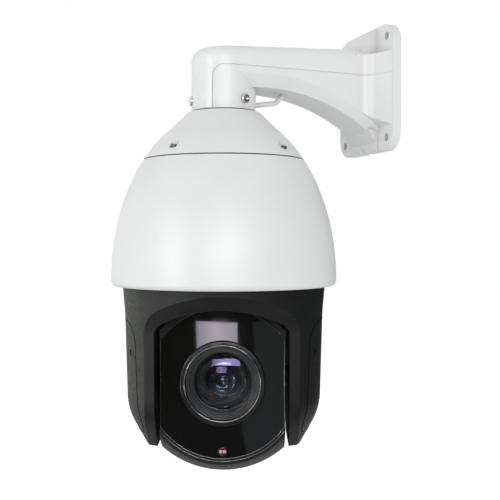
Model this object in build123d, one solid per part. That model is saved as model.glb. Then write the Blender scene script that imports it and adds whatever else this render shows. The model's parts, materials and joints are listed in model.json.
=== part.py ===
from build123d import *
import math
import os

# PTZ speed-dome camera on a cast wall arm, in millimetres.
# The origin is the centre of the wall plate's mounting face. The wall is the plane Y = 0,
# +Y goes into the wall, the arm reaches out along -Y and +Z is up.
# Three working frames are used, and every part is placed from them into the model:
#   dome frame: on the vertical dome axis, unturned
#   pan frame:  the dome frame turned by pan_rest, in which the camera looks along -Y
#   lens frame: on the tilt axis, X to the camera's side, Y up, Z forward along the lens

# ---------------------------------------------------------------- driving dimensions

# Wall plate
plate_width = 120.0
plate_height = 125.0
plate_thickness = 9.0
plate_corner = 20.0
bolt_spacing_x = 94.0
bolt_spacing_z = 100.0
bolt_hole_radius = 4.0
cable_notch_radius = 5.0

# Cast arm
arm_reach = 162.5
arm_half_width = 30.4
arm_top_front = 33.2
arm_top_wall = 40.6
arm_top_fillet = 11.0
arm_step = 0.7
arm_step_height = 15.4
arm_step_drop = 2.2
arm_step_curl_length = 22.7
arm_step_curl_radius = 11.0
arm_underside = -3.8
arm_curve_start = 33.0
arm_curve_radius = 184.0
arm_bevel_width = 7.0
arm_bevel_height = 11.0
arm_side_wall = 6.4
arm_floor_wall = 5.0
arm_curve_end = 144.0
foot_half_width = 28.0
foot_length = 2.6
foot_height = 9.0
flare_length = 11.5
flare_blend = 13.5
flare_edge = 2.0
flare_top = 34.0
flare_bottom = -40.0
gusset_length = 17.5
gusset_arch = 4.0
gusset_drop = 1.2

# Neck of the arm, its clamp screws and the eye for a safety rope
neck_radius = 31.2
neck_bore_radius = 25.0
neck_bottom = -26.1
clamp_screw_z = -16.5
clamp_seat_margin = 0.5
clamp_screw_phase = 21.9
clamp_screw_count = 3
eye_bar_radius = 2.5
eye_bar_start_z = -18.4
eye_bar_knee = 54.0
eye_bar_knee_z = -14.9
eye_bar_end = 64.0
eye_bar_bend = 6.0

# Pipe adapter between the neck and the dome
adapter_clearance = 0.3
adapter_wall = 4.7
adapter_top = -3.0
adapter_flange_radius = 33.0
adapter_flange_thickness = 3.0
adapter_groove_depth = 1.4
gland_height = 9.0
gland_hole_radius = 5.5

# Dome shells: both follow one ellipsoid
dome_radius = 110.0
dome_half_height = 166.3
dome_centre_z = -190.0
dome_wall = 3.0
cap_top_radius = 35.5
cap_top_z = -27.5
cap_cone_bottom_z = -44.3
cap_top_thickness = 4.0
cap_edge_fillet = 1.5
seam_z = -73.8
seam_gap = 1.0
seam_recess = 1.6
seam_gasket_width = 3.0
shell_flange_width = 17.7
shell_flange_thickness = 5.0
cap_screw_inset = 7.2
cap_screw_phase = 32.7
cap_screw_count = 4
cap_pocket_radius = 4.6
cap_pocket_floor = -66.3
rim_z = -195.8
rim_fillet = 5.5
rim_height = 6.0
rim_inner_radius = dome_radius - 10.0
ledge_inner_radius = dome_radius - 18.0
ledge_thickness = 10.0

# Chassis inside the dome
base_plate_radius = rim_inner_radius - 0.6
base_plate_thickness = 4.0
base_plate_top = -151.0
base_screw_circle = rim_inner_radius - 4.4
base_screw_reach = 7.0
base_screw_count = 6
base_screw_phase = 40.0
board_post_x = 45.0
board_post_y = 38.0
board_post_radius = 3.0
board_post_height = 51.0
board_thickness = 1.6
main_board_width = 104.0
main_board_depth = 90.0
power_board_width = 84.0
power_board_depth = 64.0
power_post_x = 34.0
power_post_y = 26.0
power_post_height = 14.0

# Pan drive
pan_rest = 70.9
pan_motor_size = 42.0
pan_motor_height = 34.0
pan_motor_offset = 56.0
motor_shaft_radius = 2.5
motor_shaft_gap = 0.3
motor_pulley_radius = 6.4
motor_pulley_flange = 8.6
pan_pulley_radius = 38.2
pulley_flange_extra = 1.6
pulley_flange_thickness = 1.0
belt_thickness = 1.3
belt_width = 6.0
belt_clearance = 0.06
pulley_side_gap = 0.5
hub_radius = 20.0
hub_bore_radius = 11.1
hub_shoulder_radius = 26.0
hub_flange_radius = 34.0
hub_flange_thickness = 4.0
bearing_fit = 0.03
pan_bearing_outer = 26.0
pan_bearing_width = 7.0
pan_ball_radius = 1.6
pan_ball_count = 24
race_land = 0.7
bearing_seat_wall = 5.0
circlip_thickness = 1.5
circlip_depth = 1.0
circlip_reach = 2.2

# Slip ring
slip_ring_clearance = 0.1
slip_ring_flange = 17.0
slip_ring_flange_thickness = 2.0
slip_ring_core_radius = 5.0
slip_ring_depth = 26.0
slip_ring_body_radius = 8.0
slip_ring_body_height = 13.0
slip_ring_stub_radius = 4.0
slip_ring_stub_height = 6.0
bridge_half_length = 40.0
bridge_half_width = 8.0
bridge_thickness = 2.0
bridge_foot = 9.0

# Yoke
yoke_top_z = -178.0
roof_pocket_inner = 44.0
roof_pocket_depth = 12.0
yoke_top_radius = rim_inner_radius - 2.0
yoke_flare_radius = rim_inner_radius - 1.4
roof_pocket_outer = yoke_top_radius - 10.0
yoke_flare_z = -198.0
yoke_waist_radius = rim_inner_radius - 3.4
yoke_waist_z = -222.0
yoke_side_radius = rim_inner_radius - 5.6
yoke_side_z = -299.0
yoke_lower_curve = 57.0
yoke_lower_turn = 28.9
yoke_bottom_z = -346.9
yoke_wall = 5.5
slot_half_width = yoke_side_radius - 32.4
slot_spring_z = -232.0
slot_crown_z = -214.0
slot_corner = 12.0
slot_bevel_depth = 7.0
slot_bevel_face = 13.0
head_cavity_gap = 2.3
leg_floor = 6.0
leg_inner_wall = 3.0
leg_roof_z = -205.0

# Arm covers on the yoke's legs
cover_half_width = yoke_side_radius - 42.4
cover_top_z = -227.0
cover_bottom_z = -334.0
cover_corner_top = 22.0
cover_corner_bottom = 22.0
cover_thickness = 2.6
cover_gap = 0.35
cover_gasket_thickness = 0.8
touch_gap = 0.15
cover_ledge = 5.0
cover_screw_y = cover_half_width - 11.0
cover_screw_z = -257.0
cover_screw_sink = 0.6
cover_screw_depth = 12.0
cover_boss_radius = 4.6

# Tilt axis, its bearings and its drive
tilt_z = -284.5
tilt_shaft_radius = 8.5
tilt_shaft_bore = 5.0
tilt_bearing_outer = 13.0
tilt_bearing_width = 5.0
tilt_bearing_lip = 1.0
tilt_ball_radius = 1.15
tilt_ball_count = 14
tilt_boss_radius = 16.5
tilt_shoulder_radius = 10.0
tilt_stub_length = 4.5
tilt_pulley_radius = 16.0
tilt_pulley_gap = 0.6
tilt_belt_width = 5.0
tilt_pulley_bore_land = 0.03
tilt_motor_size = 35.0
tilt_motor_depth = 11.5
tilt_motor_rise = 48.5
tilt_motor_gap = 0.9

# Camera head
head_radius = yoke_side_radius - 3.4
head_half_width = slot_half_width - 3.7
head_wall = 3.0
head_split = 14.0
head_front = 50.0
head_gasket_thickness = 0.8
head_gasket_inset = 0.8
head_gasket_width = 1.4
head_screw_x = head_half_width - 7.5
head_screw_y = head_radius - 33.0
head_boss_radius = 5.0
head_boss_length = 16.0
head_screw_length = 38.0
glass_radius = head_radius - 20.4
glass_half_width = head_half_width - 0.3
glass_thickness = 3.0
glass_gap = 0.35
glass_seal_thickness = 0.6
glass_seat_width = 2.4
glass_seat_thickness = 3.0
glass_edge_chamfer = 0.6

# Lens block
bezel_radius = 39.8
bezel_inner_radius = 35.4
bezel_edge_fillet = 1.4
bezel_funnel_inward = 0.8
bezel_funnel_outward = 1.0
bezel_proud = 2.6
bezel_depth = 12.0
bezel_flange_radius = 43.0
bezel_flange_thickness = 2.4
bezel_gap = 0.3
barrel_radius = 30.0
barrel_bore = 26.5
barrel_front = 45.0
barrel_rear = -24.0
barrel_rim_length = 9.0
barrel_rim_clearance = 0.15
barrel_rim_step = 31.4
barrel_rim_throat = 28.6
barrel_flange_radius = 35.0
barrel_flange_thickness = 2.4
barrel_pad = 7.0
barrel_pad_height = 2.2
front_lens_radius = 27.2
front_lens_edge = 4.0
front_lens_seat = 35.0
front_lens_bulge = 5.0
front_lens_hollow = 2.5
carriage_clearance = 0.3
guide_rod_radius = 1.2
guide_rod_circle = 23.4
guide_rod_clearance = 0.06
zoom_position = 24.0
zoom_length = 7.0
zoom_lens_radius = 16.0
zoom_lens_edge = 2.6
zoom_lens_bulge = 2.6
focus_position = -12.0
focus_length = 6.0
focus_lens_radius = 11.0
focus_lens_edge = 2.4
focus_lens_bulge = 1.6
lens_seat_gap = 0.05
iris_position = 2.0
iris_thickness = 3.0
iris_aperture = 8.0
filter_wall_position = -18.9
filter_wall_thickness = 1.6
filter_aperture = 7.0
filter_half_width = 8.0
filter_half_height = 7.0
filter_thickness = 1.2
filter_gap = 0.1
sensor_board_size = 44.0
sensor_width = 13.0
sensor_height = 10.0
sensor_thickness = 1.5
lens_motor_length = 26.0
lens_motor_width = 13.0
lens_motor_height = 11.0

# Camera chassis inside the head
chassis_front = 31.0
chassis_rear = -36.0
chassis_half_height = 30.0
chassis_wall = 3.0
chassis_bore_gap = 0.05

# Infrared board behind the front glass and the light sensor
ir_board_margin = 3.0
ir_board_hole = 44.5
ir_led_radius = 3.6
ir_led_inset = 2.0
ir_led_circle = (glass_radius + bezel_flange_radius) / 2 - ir_led_inset
ir_led_dome = 1.6
ir_led_step = 17.0
light_sensor_radius = 4.2
light_sensor_drop = glass_radius - 7.1
light_sensor_gap = 0.25
light_sensor_proud = 0.3

# Fasteners
screw_clearance = 0.05
m5_radius = 2.5
m5_head_radius = 4.6
m5_head_height = 3.4
m4_radius = 2.0
m4_head_radius = 3.6
m4_head_height = 2.6
m3_radius = 1.5
m3_head_radius = 2.7
m3_head_height = 1.8

# ---------------------------------------------------------------- worked-out places

wall_to_arm = arm_reach - plate_thickness
seam_share = (seam_z - dome_centre_z) / dome_half_height
seam_radius = dome_radius * math.sqrt(1 - seam_share**2)
shell_flange_inner = seam_radius - shell_flange_width
cap_screw_circle = seam_radius - cap_screw_inset
bottom_edge = -plate_height / 2
adapter_radius = neck_bore_radius - adapter_clearance
adapter_bore = adapter_radius - adapter_wall
cap_bottom = seam_z + seam_gap / 2
housing_top = seam_z - seam_gap / 2
cap_inner_top = cap_top_z - cap_top_thickness
base_plate_bottom = base_plate_top - base_plate_thickness
main_board_z = base_plate_top + board_post_height
pulley_length = belt_width + 2 * pulley_flange_thickness + pulley_side_gap
tilt_pulley_length = tilt_belt_width + 2 * pulley_flange_thickness + pulley_side_gap
pan_pulley_top = base_plate_bottom - 2.0
pan_pulley_bottom = pan_pulley_top - pulley_length
hub_top = base_plate_top + pan_bearing_width + circlip_thickness + 1.5
head_inner_side = head_half_width - head_wall
glass_back = head_front - glass_thickness + glass_seal_thickness
tilt_bearing_start = slot_half_width + tilt_bearing_lip
tilt_bearing_end = tilt_bearing_start + tilt_bearing_width
tilt_pulley_start = tilt_bearing_end + tilt_pulley_gap
tilt_motor_face = tilt_pulley_start + tilt_pulley_length + tilt_motor_gap
ir_board_front = head_front - glass_thickness - glass_seat_thickness


# ---------------------------------------------------------------- placing and shapes

def on_dome(shape):
    return Pos(0, -arm_reach, 0) * shape


def on_pan(shape):
    return on_dome(Rot(0, 0, pan_rest) * shape)


def on_lens(shape):
    return on_pan(Pos(0, 0, tilt_z) * Rot(90, 0, 0) * shape)


def disc(radius, low, high):
    return Pos(0, 0, low) * extrude(Circle(radius), amount=high - low)


def ring(inner, outer, low, high):
    return Pos(0, 0, low) * extrude(Circle(outer) - Circle(inner), amount=high - low)


def block(width, depth, low, high):
    return Pos(0, 0, low) * extrude(Rectangle(width, depth), amount=high - low)


def along_x(shape):
    """Turn a shape built along +Z so that it runs along +X."""
    return Rot(0, 90, 0) * shape


def side_profile(face, half_width):
    """Extrude a face drawn in the YZ plane to both sides of X = 0."""
    return extrude(Plane.YZ * face, amount=half_width, both=True)


def around(shape, count, phase=0.0):
    """Copies of a shape turned about the Z axis."""
    return [Rot(0, 0, phase + 360 * i / count) * shape for i in range(count)]


def group(shapes):
    return Compound(children=list(shapes))


def cut_all(body, tools):
    for tool in tools:
        body = body - tool
    return body


def corners(x, y):
    return [(sx * x, sy * y) for sx in (-1, 1) for sy in (-1, 1)]


def pan_head_screw(radius, head_radius, head_height, length):
    """Cross-recessed screw: the head stands on Z = 0, the shank points down."""
    head = disc(head_radius, 0, head_height)
    head = fillet(head.edges().group_by(Axis.Z)[-1], head_height * 0.55)
    slot_width = head_radius * 0.24
    slot_length = head_radius * 1.15
    recess = Rectangle(slot_length, slot_width) + Rectangle(slot_width, slot_length)
    recess = Pos(0, 0, head_height * 0.4) * extrude(recess, amount=head_height)
    return head - recess + disc(radius, -length, 0)


def m5_screw(length):
    return pan_head_screw(m5_radius, m5_head_radius, m5_head_height, length)


def m4_screw(length):
    return pan_head_screw(m4_radius, m4_head_radius, m4_head_height, length)


def m3_screw(length):
    return pan_head_screw(m3_radius, m3_head_radius, m3_head_height, length)


def bulged_edge(radius, height, bulge):
    """Arc of a lens face from the axis to the rim, with its centre on the axis."""
    curve = (radius**2 + bulge**2) / (2 * bulge)
    half = radius / 2
    middle = height + bulge - math.copysign(abs(curve) - math.sqrt(curve**2 - half**2), bulge)
    return ThreePointArc((0, height + bulge), (half, middle), (radius, height))


def lens(radius, edge, front_bulge, back_bulge):
    """Round lens with its rim between Z = 0 and Z = edge; a negative bulge is hollow."""
    front = bulged_edge(radius, edge, front_bulge)
    back = bulged_edge(radius, 0, -back_bulge)
    sides = Line((radius, 0), (radius, edge)) + Line((0, -back_bulge), (0, edge + front_bulge))
    return revolve(Plane.XZ * make_face(front + back + sides), Axis.Z)


def belt_loop(radius_a, radius_b, distance, low, high):
    """Flat belt round a pulley at the origin and one at Y = distance."""
    outlines = []
    for extra in (belt_clearance, belt_clearance + belt_thickness):
        circles = Circle(radius_a + extra) + Pos(0, distance) * Circle(radius_b + extra)
        outlines.append(make_hull(circles.edges()))
    return Pos(0, 0, low) * extrude(outlines[1] - outlines[0], amount=high - low)


def pulley(radius, flange, bore, low, length):
    """Flanged belt pulley standing on Z = low."""
    high = low + length
    body = disc(radius, low, high)
    body += disc(flange, low, low + pulley_flange_thickness)
    body += disc(flange, high - pulley_flange_thickness, high)
    return body - disc(bore, low, high)


def bearing(bore, outer, width, ball_radius, count, low):
    """Deep-groove ball bearing: inner race, outer race and a list of balls."""
    middle = (bore + outer) / 2
    centre = low + width / 2
    groove = Pos(0, 0, centre) * Torus(middle, ball_radius + bearing_fit)
    inner = ring(bore + bearing_fit, middle - race_land, low, low + width) - groove
    outer_race = ring(middle + race_land, outer - bearing_fit, low, low + width) - groove
    ball = Pos(middle, 0, centre) * Sphere(ball_radius)
    return inner, outer_race, around(ball, count)


# ---------------------------------------------------------------- wall bracket

def arm_top(distance):
    """Height of the arm's top at a distance from the dome axis."""
    share = (distance + neck_radius) / (wall_to_arm + neck_radius)
    return arm_top_front + (arm_top_wall - arm_top_front) * share


def underside(distance, offset=0.0):
    """Height of the arm's underside, or of the hollow's floor with an offset."""
    radius = arm_curve_radius + offset
    run = max(0.0, distance - arm_curve_start)
    return arm_underside - arm_curve_radius + math.sqrt(radius**2 - run**2)


def underside_curve(end, offset=0.0):
    """The underside's arc from where it leaves the level part, drawn in the YZ plane."""
    radius = arm_curve_radius + offset
    turn = math.degrees(math.asin((end - arm_curve_start) / radius))
    centre = (arm_curve_start - arm_reach, arm_underside - arm_curve_radius)
    return CenterArc(centre, radius, 90, -turn)


def arm_plan(extra):
    """The arm seen from above: round at the neck and straight to the wall plate."""
    half = arm_half_width + extra
    front = Pos(0, -arm_reach) * Circle(neck_radius + extra)
    beam = Polygon(
        (-neck_radius - extra, -arm_reach),
        (neck_radius + extra, -arm_reach),
        (half, -plate_thickness),
        (-half, -plate_thickness),
        align=None,
    )
    return front + beam


def arm_upper():
    """Upper half of the arm and the neck's front, proud of the rest by a small step."""
    wall_y = -plate_thickness
    curl_y = -arm_reach - neck_radius + arm_step_curl_length
    seam_y = curl_y - arm_step_curl_radius
    front_y = -arm_reach - neck_radius - 2
    low_wall = arm_step_height - arm_step_drop
    curl_end = (seam_y, arm_step_height - arm_step_curl_radius)
    edge = Polyline(
        (curl_y, arm_step_height),
        (wall_y, low_wall),
        (wall_y, arm_top(wall_to_arm)),
        (front_y, arm_top(-neck_radius - 2)),
        (front_y, neck_bottom),
        (seam_y, neck_bottom),
        curl_end,
    )
    curl = TangentArc((curl_y, arm_step_height), curl_end, tangent=(-1, 0))
    profile = make_face(edge + curl)
    depth = 2 * neck_radius
    plan = Pos(0, 0, -depth) * extrude(arm_plan(arm_step), amount=3 * depth)
    upper = plan & side_profile(profile, depth)
    top = upper.faces().sort_by(Axis.Z)[-1]
    rounded = [e for e in top.edges() if e.center().Y < wall_y - 1]
    return fillet(rounded, arm_top_fillet)


def arm_lower():
    """Lower half: the beam with its curved and bevelled underside."""
    curve = underside_curve(wall_to_arm)
    edge = Polyline(
        curve @ 1,
        (-plate_thickness, arm_step_height),
        (-arm_reach, arm_step_height),
        (-arm_reach, arm_underside),
        curve @ 0,
    )
    beam = side_profile(make_face(curve + edge), 2 * neck_radius)
    depth = plate_height
    beam = beam & (Pos(0, 0, -depth) * extrude(arm_plan(0), amount=2 * depth))
    return cut_all(beam, [bevel_tool(side) for side in (-1, 1)])


def below_underside(height):
    """Face from the underside's arc, raised by a height, down past the plate."""
    curve = Pos(0, height) * underside_curve(wall_to_arm)
    edge = Polyline(
        curve @ 1,
        (-plate_thickness, -plate_height),
        (-arm_reach, -plate_height),
        (-arm_reach, arm_underside + height),
        curve @ 0,
    )
    return make_face(curve + edge)


def bevel_tool(side):
    """Wedge that takes the lower edge off one side of the arm."""
    half = neck_radius + 1.0
    flat = arm_half_width - arm_bevel_width
    lift = arm_bevel_height * (half - flat) / arm_bevel_width
    sections = []
    for height, x in ((0.0, flat), (lift, half)):
        plane = Plane(origin=(side * x, 0, 0), x_dir=(0, 1, 0), z_dir=(1, 0, 0))
        sections.append(plane * below_underside(height))
    return loft(sections)


def foot():
    """Block that carries the underside down to the plate's lower edge."""
    foot_y = -plate_thickness - foot_length
    start_y = arm_curve_end - arm_reach
    start_z = underside(arm_curve_end)
    profile = Polygon(
        (start_y, start_z + 1),
        (start_y, start_z),
        (foot_y, bottom_edge + foot_height),
        (foot_y, bottom_edge),
        (-plate_thickness / 2, bottom_edge),
        (-plate_thickness / 2, start_z + 1),
        align=None,
    )
    return side_profile(profile, foot_half_width)


def gusset():
    """Arched ramp from the arm's top up to the plate's upper edge."""
    start = Vector(-arm_reach + wall_to_arm - gusset_length, arm_top(wall_to_arm - gusset_length) - 1)
    end = Vector(-plate_thickness, plate_height / 2 - gusset_drop)
    outward = (end - start).normalized().rotate(Axis.Z, 90)
    middle = (start + end) / 2 + outward * gusset_arch
    low = start.Y - arm_top_fillet
    ramp = ThreePointArc(start, middle, end)
    rest = Polyline(
        end,
        (-plate_thickness / 2, end.Y),
        (-plate_thickness / 2, low),
        (start.X, low),
        start,
    )
    return side_profile(make_face(ramp + rest), foot_half_width)


def flare_outline(extra):
    """Plan of the arm's spread to the plate's edges, blended into the arm's sides."""
    half = arm_half_width + extra
    edge_x = plate_width / 2 - flare_edge + extra
    start_y = -plate_thickness - flare_length
    outline = Polygon(
        (-half, start_y - flare_blend),
        (half, start_y - flare_blend),
        (half, start_y),
        (edge_x, -plate_thickness),
        (edge_x, -plate_thickness / 2),
        (-edge_x, -plate_thickness / 2),
        (-edge_x, -plate_thickness),
        (-half, start_y),
        align=None,
    )
    corners_in = [v for v in outline.vertices() if abs(v.Y - start_y) < 0.01]
    return fillet(corners_in, flare_blend)


def flares():
    """Side webs that carry the step between the arm's halves on to the plate."""
    step_z = arm_step_height - arm_step_drop
    lower = Pos(0, 0, flare_bottom) * extrude(flare_outline(0), amount=step_z - flare_bottom)
    upper = Pos(0, 0, step_z) * extrude(flare_outline(arm_step), amount=flare_top - step_z)
    return lower + upper - side_profile(below_underside(arm_bevel_height), plate_width)


def plate():
    outline = RectangleRounded(plate_width, plate_height, plate_corner)
    return extrude(Plane.XZ * outline, amount=plate_thickness)


def arm_hollow():
    """Cable way inside the arm: a slot along the beam that opens at the wall."""
    curve = underside_curve(arm_reach, arm_floor_wall)
    edge = Polyline(
        curve @ 1,
        (1, underside(arm_reach, arm_floor_wall)),
        (1, arm_top(arm_reach) - arm_floor_wall),
        (-arm_reach, arm_top(0) - arm_floor_wall),
        (-arm_reach, arm_underside + arm_floor_wall),
        curve @ 0,
    )
    return side_profile(make_face(curve + edge), arm_half_width - arm_side_wall)


def rope_eye():
    """Cast bar from the neck back up to the arm, which a safety rope hooks on."""
    start = (neck_radius - 2 - arm_reach, eye_bar_start_z)
    knee = (eye_bar_knee - arm_reach, eye_bar_knee_z)
    top = (eye_bar_end - arm_reach, underside(eye_bar_end) + arm_floor_wall / 2)
    path = FilletPolyline(start, knee, top, radius=eye_bar_bend)
    path = Plane.YZ * path
    section = Plane(origin=path @ 0, z_dir=path % 0) * Circle(eye_bar_radius)
    return sweep(section, path=path)


def bolt_holes():
    holes = []
    for x, z in corners(bolt_spacing_x / 2, bolt_spacing_z / 2):
        hole = Cylinder(bolt_hole_radius, 3 * plate_thickness)
        holes.append(Pos(x, -plate_thickness / 2, z) * Rot(90, 0, 0) * hole)
    return holes


def cable_notch():
    length = 2 * (plate_thickness + foot_length) + 2
    return Pos(0, 0, bottom_edge) * Rot(90, 0, 0) * Cylinder(cable_notch_radius, length)


def clamp_holes():
    """Holes for the clamp screws, each with a flat seat for its head."""
    hole = disc(m5_radius + screw_clearance, neck_bore_radius - 4, neck_radius + 4)
    hole += disc(m5_head_radius + clamp_seat_margin, neck_radius, neck_radius + 4)
    hole = Pos(0, 0, clamp_screw_z) * along_x(hole)
    return [on_dome(copy) for copy in around(hole, clamp_screw_count, clamp_screw_phase)]


def wall_bracket():
    body = arm_lower() + arm_upper()
    body += on_dome(disc(neck_radius, neck_bottom, arm_step_height))
    body += rope_eye()
    body += plate()
    body += flares()
    body += foot()
    body += gusset()
    body -= arm_hollow()
    body -= on_dome(disc(neck_bore_radius, neck_bottom - 1, arm_top(0) - arm_floor_wall - 1))
    return cut_all(body, bolt_holes() + clamp_holes() + [cable_notch()])


def neck_clamp_screws():
    tip = adapter_radius - adapter_groove_depth
    length = neck_radius - tip
    screw = Pos(0, 0, clamp_screw_z) * along_x(Pos(0, 0, neck_radius) * m5_screw(length))
    return on_dome(group(around(screw, clamp_screw_count, clamp_screw_phase)))


# ---------------------------------------------------------------- pipe adapter

def pipe_adapter():
    """Threaded pipe stub: its flange bears up against the inside of the cap."""
    flange_bottom = cap_inner_top - adapter_flange_thickness
    body = ring(adapter_bore, adapter_radius, flange_bottom, adapter_top)
    body += ring(adapter_bore, adapter_flange_radius, flange_bottom, cap_inner_top)
    inner = adapter_radius - adapter_groove_depth
    half = m5_radius + 2 * screw_clearance
    groove = ring(inner, adapter_radius + 1, clamp_screw_z - half, clamp_screw_z + half)
    return on_dome(body - groove)


def cable_gland():
    low = cap_inner_top - adapter_flange_thickness
    radius = adapter_bore - screw_clearance
    body = disc(radius, low, low + gland_height)
    body += disc(radius * 0.6, low + gland_height, low + gland_height * 1.6)
    return on_dome(body - disc(gland_hole_radius, low - 1, low + 2 * gland_height))


# ---------------------------------------------------------------- dome shells

def dome_ellipsoid(inset=0.0):
    outline = Ellipse(dome_radius - inset, dome_half_height - inset)
    half = outline & (Pos(dome_radius, 0) * Rectangle(2 * dome_radius, 4 * dome_half_height))
    return Pos(0, 0, dome_centre_z) * revolve(Plane.XZ * half, Axis.Z)


def dome_slice(low, high, inset=0.0):
    return dome_ellipsoid(inset) & disc(2 * dome_radius, low, high)


def dome_surface_radius(height):
    share = (height - dome_centre_z) / dome_half_height
    return dome_radius * math.sqrt(1 - share**2)


def cap_solid(inset):
    """Solid under the cap's skin: a cone up to the neck, standing on the ellipsoid."""
    low_radius = dome_surface_radius(cap_cone_bottom_z)
    slope = (low_radius - cap_top_radius) / (cap_top_z - cap_cone_bottom_z)
    shift = inset * math.sqrt(1 + slope**2)
    top = cap_top_z if inset == 0 else cap_inner_top
    top_radius = cap_top_radius + slope * (cap_top_z - top) - shift
    cone = Polyline(
        (0, top),
        (top_radius, top),
        (low_radius - shift, cap_cone_bottom_z),
        (0, cap_cone_bottom_z),
        close=True,
    )
    cone = revolve(Plane.XZ * make_face(cone), Axis.Z)
    return cone + dome_slice(cap_bottom, cap_cone_bottom_z + 0.02, inset)


def cap_screw_places(shape):
    return around(Pos(cap_screw_circle, 0, 0) * shape, cap_screw_count, cap_screw_phase)


def top_cap():
    outer = cap_solid(0)
    outer = fillet(outer.edges().group_by(Axis.Z)[-1], cap_edge_fillet)
    body = outer - cap_solid(dome_wall)
    rim = dome_slice(cap_bottom, cap_bottom + shell_flange_thickness)
    body += rim - disc(shell_flange_inner, cap_bottom - 1, cap_top_z)
    boss = disc(cap_pocket_radius + dome_wall, cap_bottom, cap_top_z)
    for place in cap_screw_places(boss):
        body += place & cap_solid(dome_wall / 10)
    pocket = disc(cap_pocket_radius, cap_pocket_floor, cap_top_z)
    hole = disc(m4_radius + screw_clearance, cap_bottom - 1, cap_top_z)
    body = cut_all(body, cap_screw_places(pocket) + cap_screw_places(hole))
    body -= disc(adapter_radius + screw_clearance, cap_inner_top - 1, cap_top_z + 1)
    return on_dome(body)


def top_cap_screws():
    length = cap_pocket_floor - housing_top + shell_flange_thickness
    screw = Pos(0, 0, cap_pocket_floor) * m4_screw(length)
    return on_dome(group(cap_screw_places(screw)))


def seam_gasket():
    outer = dome_surface_radius(seam_z) - seam_recess
    return on_dome(ring(outer - seam_gasket_width, outer, housing_top, cap_bottom))


def main_housing():
    body = dome_slice(rim_z, housing_top)
    body = fillet(body.edges().group_by(Axis.Z)[0], rim_fillet)
    body -= dome_slice(rim_z + rim_height, housing_top - shell_flange_thickness, dome_wall)
    body -= disc(rim_inner_radius, rim_z - 1, rim_z + rim_height + 1)
    body -= disc(shell_flange_inner, housing_top - 2 * shell_flange_thickness, housing_top + 1)
    ledge = dome_slice(base_plate_top, base_plate_top + ledge_thickness, dome_wall / 2)
    body += ledge - disc(ledge_inner_radius, base_plate_top - 1, housing_top)
    hole = disc(m4_radius + screw_clearance, housing_top - 2 * shell_flange_thickness, housing_top + 1)
    body = cut_all(body, cap_screw_places(hole))
    hole = disc(m4_radius + screw_clearance, base_plate_top - 1, base_plate_top + 8)
    return on_dome(cut_all(body, base_screw_places(hole)))


# ---------------------------------------------------------------- chassis in the dome

def base_screw_places(shape):
    return around(Pos(base_screw_circle, 0, 0) * shape, base_screw_count, base_screw_phase)


def base_plate():
    """Round chassis plate with the seat of the pan bearing."""
    body = disc(base_plate_radius, base_plate_bottom, base_plate_top)
    seat = pan_bearing_outer + bearing_seat_wall
    body += disc(seat, base_plate_top, base_plate_top + pan_bearing_width)
    race_inner = (hub_radius + pan_bearing_outer) / 2 + race_land
    body -= disc(race_inner, base_plate_bottom - 1, base_plate_top + 1)
    body -= disc(pan_bearing_outer, base_plate_top, base_plate_top + pan_bearing_width + 1)
    motor_hole = disc(motor_pulley_flange + 1, base_plate_bottom - 1, base_plate_top + 1)
    body -= Pos(0, pan_motor_offset, 0) * motor_hole
    hole = disc(m4_radius + screw_clearance, base_plate_bottom - 1, base_plate_top + 1)
    body = cut_all(body, base_screw_places(hole))
    return on_dome(body)


def base_plate_screws():
    screw = Pos(0, 0, base_plate_bottom) * Rot(180, 0, 0) * m4_screw(base_plate_thickness + base_screw_reach)
    return on_dome(group(base_screw_places(screw)))


def board_posts():
    """Posts under the main board and, above it, under the power board."""
    posts = []
    lower = disc(board_post_radius, base_plate_top, main_board_z)
    upper = disc(board_post_radius, main_board_z + board_thickness, power_board_z())
    for x, y in corners(board_post_x, board_post_y):
        posts.append(Pos(x, y, 0) * lower)
    for x, y in corners(power_post_x, power_post_y):
        posts.append(Pos(x, y, 0) * upper)
    return on_dome(group(posts))


def circuit_board(width, depth, low, parts):
    """Bare board with its largest components, each (x, y, wide, deep, tall).

    Places and plan sizes are shares of the board's width and depth, heights of its thickness."""
    body = block(width, depth, low, low + board_thickness)
    top = low + board_thickness
    for x, y, wide, deep, tall in parts:
        component = block(wide * width, deep * depth, top - 0.2, top + tall * board_thickness)
        body += Pos(x * width, y * depth, 0) * component
    return body


def main_board():
    parts = [
        (0.0, 0.07, 0.23, 0.27, 1.5),
        (0.17, -0.24, 0.13, 0.15, 1.0),
        (-0.21, -0.18, 0.15, 0.13, 1.0),
        (-0.44, 0.02, 0.09, 0.33, 6.9),
        (0.04, 0.42, 0.35, 0.10, 5.6),
    ]
    return on_dome(circuit_board(main_board_width, main_board_depth, main_board_z, parts))


def power_board_z():
    return main_board_z + board_thickness + power_post_height


def power_board():
    parts = [
        (-0.26, 0.16, 0.21, 0.34, 6.3),
        (0.19, -0.22, 0.29, 0.19, 5.0),
        (0.24, 0.25, 0.14, 0.19, 3.8),
    ]
    board = circuit_board(power_board_width, power_board_depth, power_board_z(), parts)
    return on_dome(board)


# ---------------------------------------------------------------- pan drive

def square_motor(size, height):
    """Stepper body with cut corners, standing on Z = 0."""
    body = extrude(Rectangle(size, size), amount=height)
    return chamfer(body.edges().filter_by(Axis.Z), size * 0.1)


def pan_motor():
    body = square_motor(pan_motor_size, pan_motor_height)
    body = body - disc(motor_shaft_radius + motor_shaft_gap, -1, pan_motor_height / 2)
    return on_dome(Pos(0, pan_motor_offset, base_plate_top) * body)


def motor_pulley(low, length, shaft_end):
    """Small pulley on the end of its motor's shaft, which turn as one."""
    body = pulley(motor_pulley_radius, motor_pulley_flange, motor_shaft_radius / 2, low, length)
    return body + disc(motor_shaft_radius, low, shaft_end)


def pan_motor_pulley():
    shaft_end = base_plate_top + pan_motor_height / 3
    body = motor_pulley(pan_pulley_bottom, pulley_length, shaft_end)
    return on_dome(Pos(0, pan_motor_offset, 0) * body)


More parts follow.
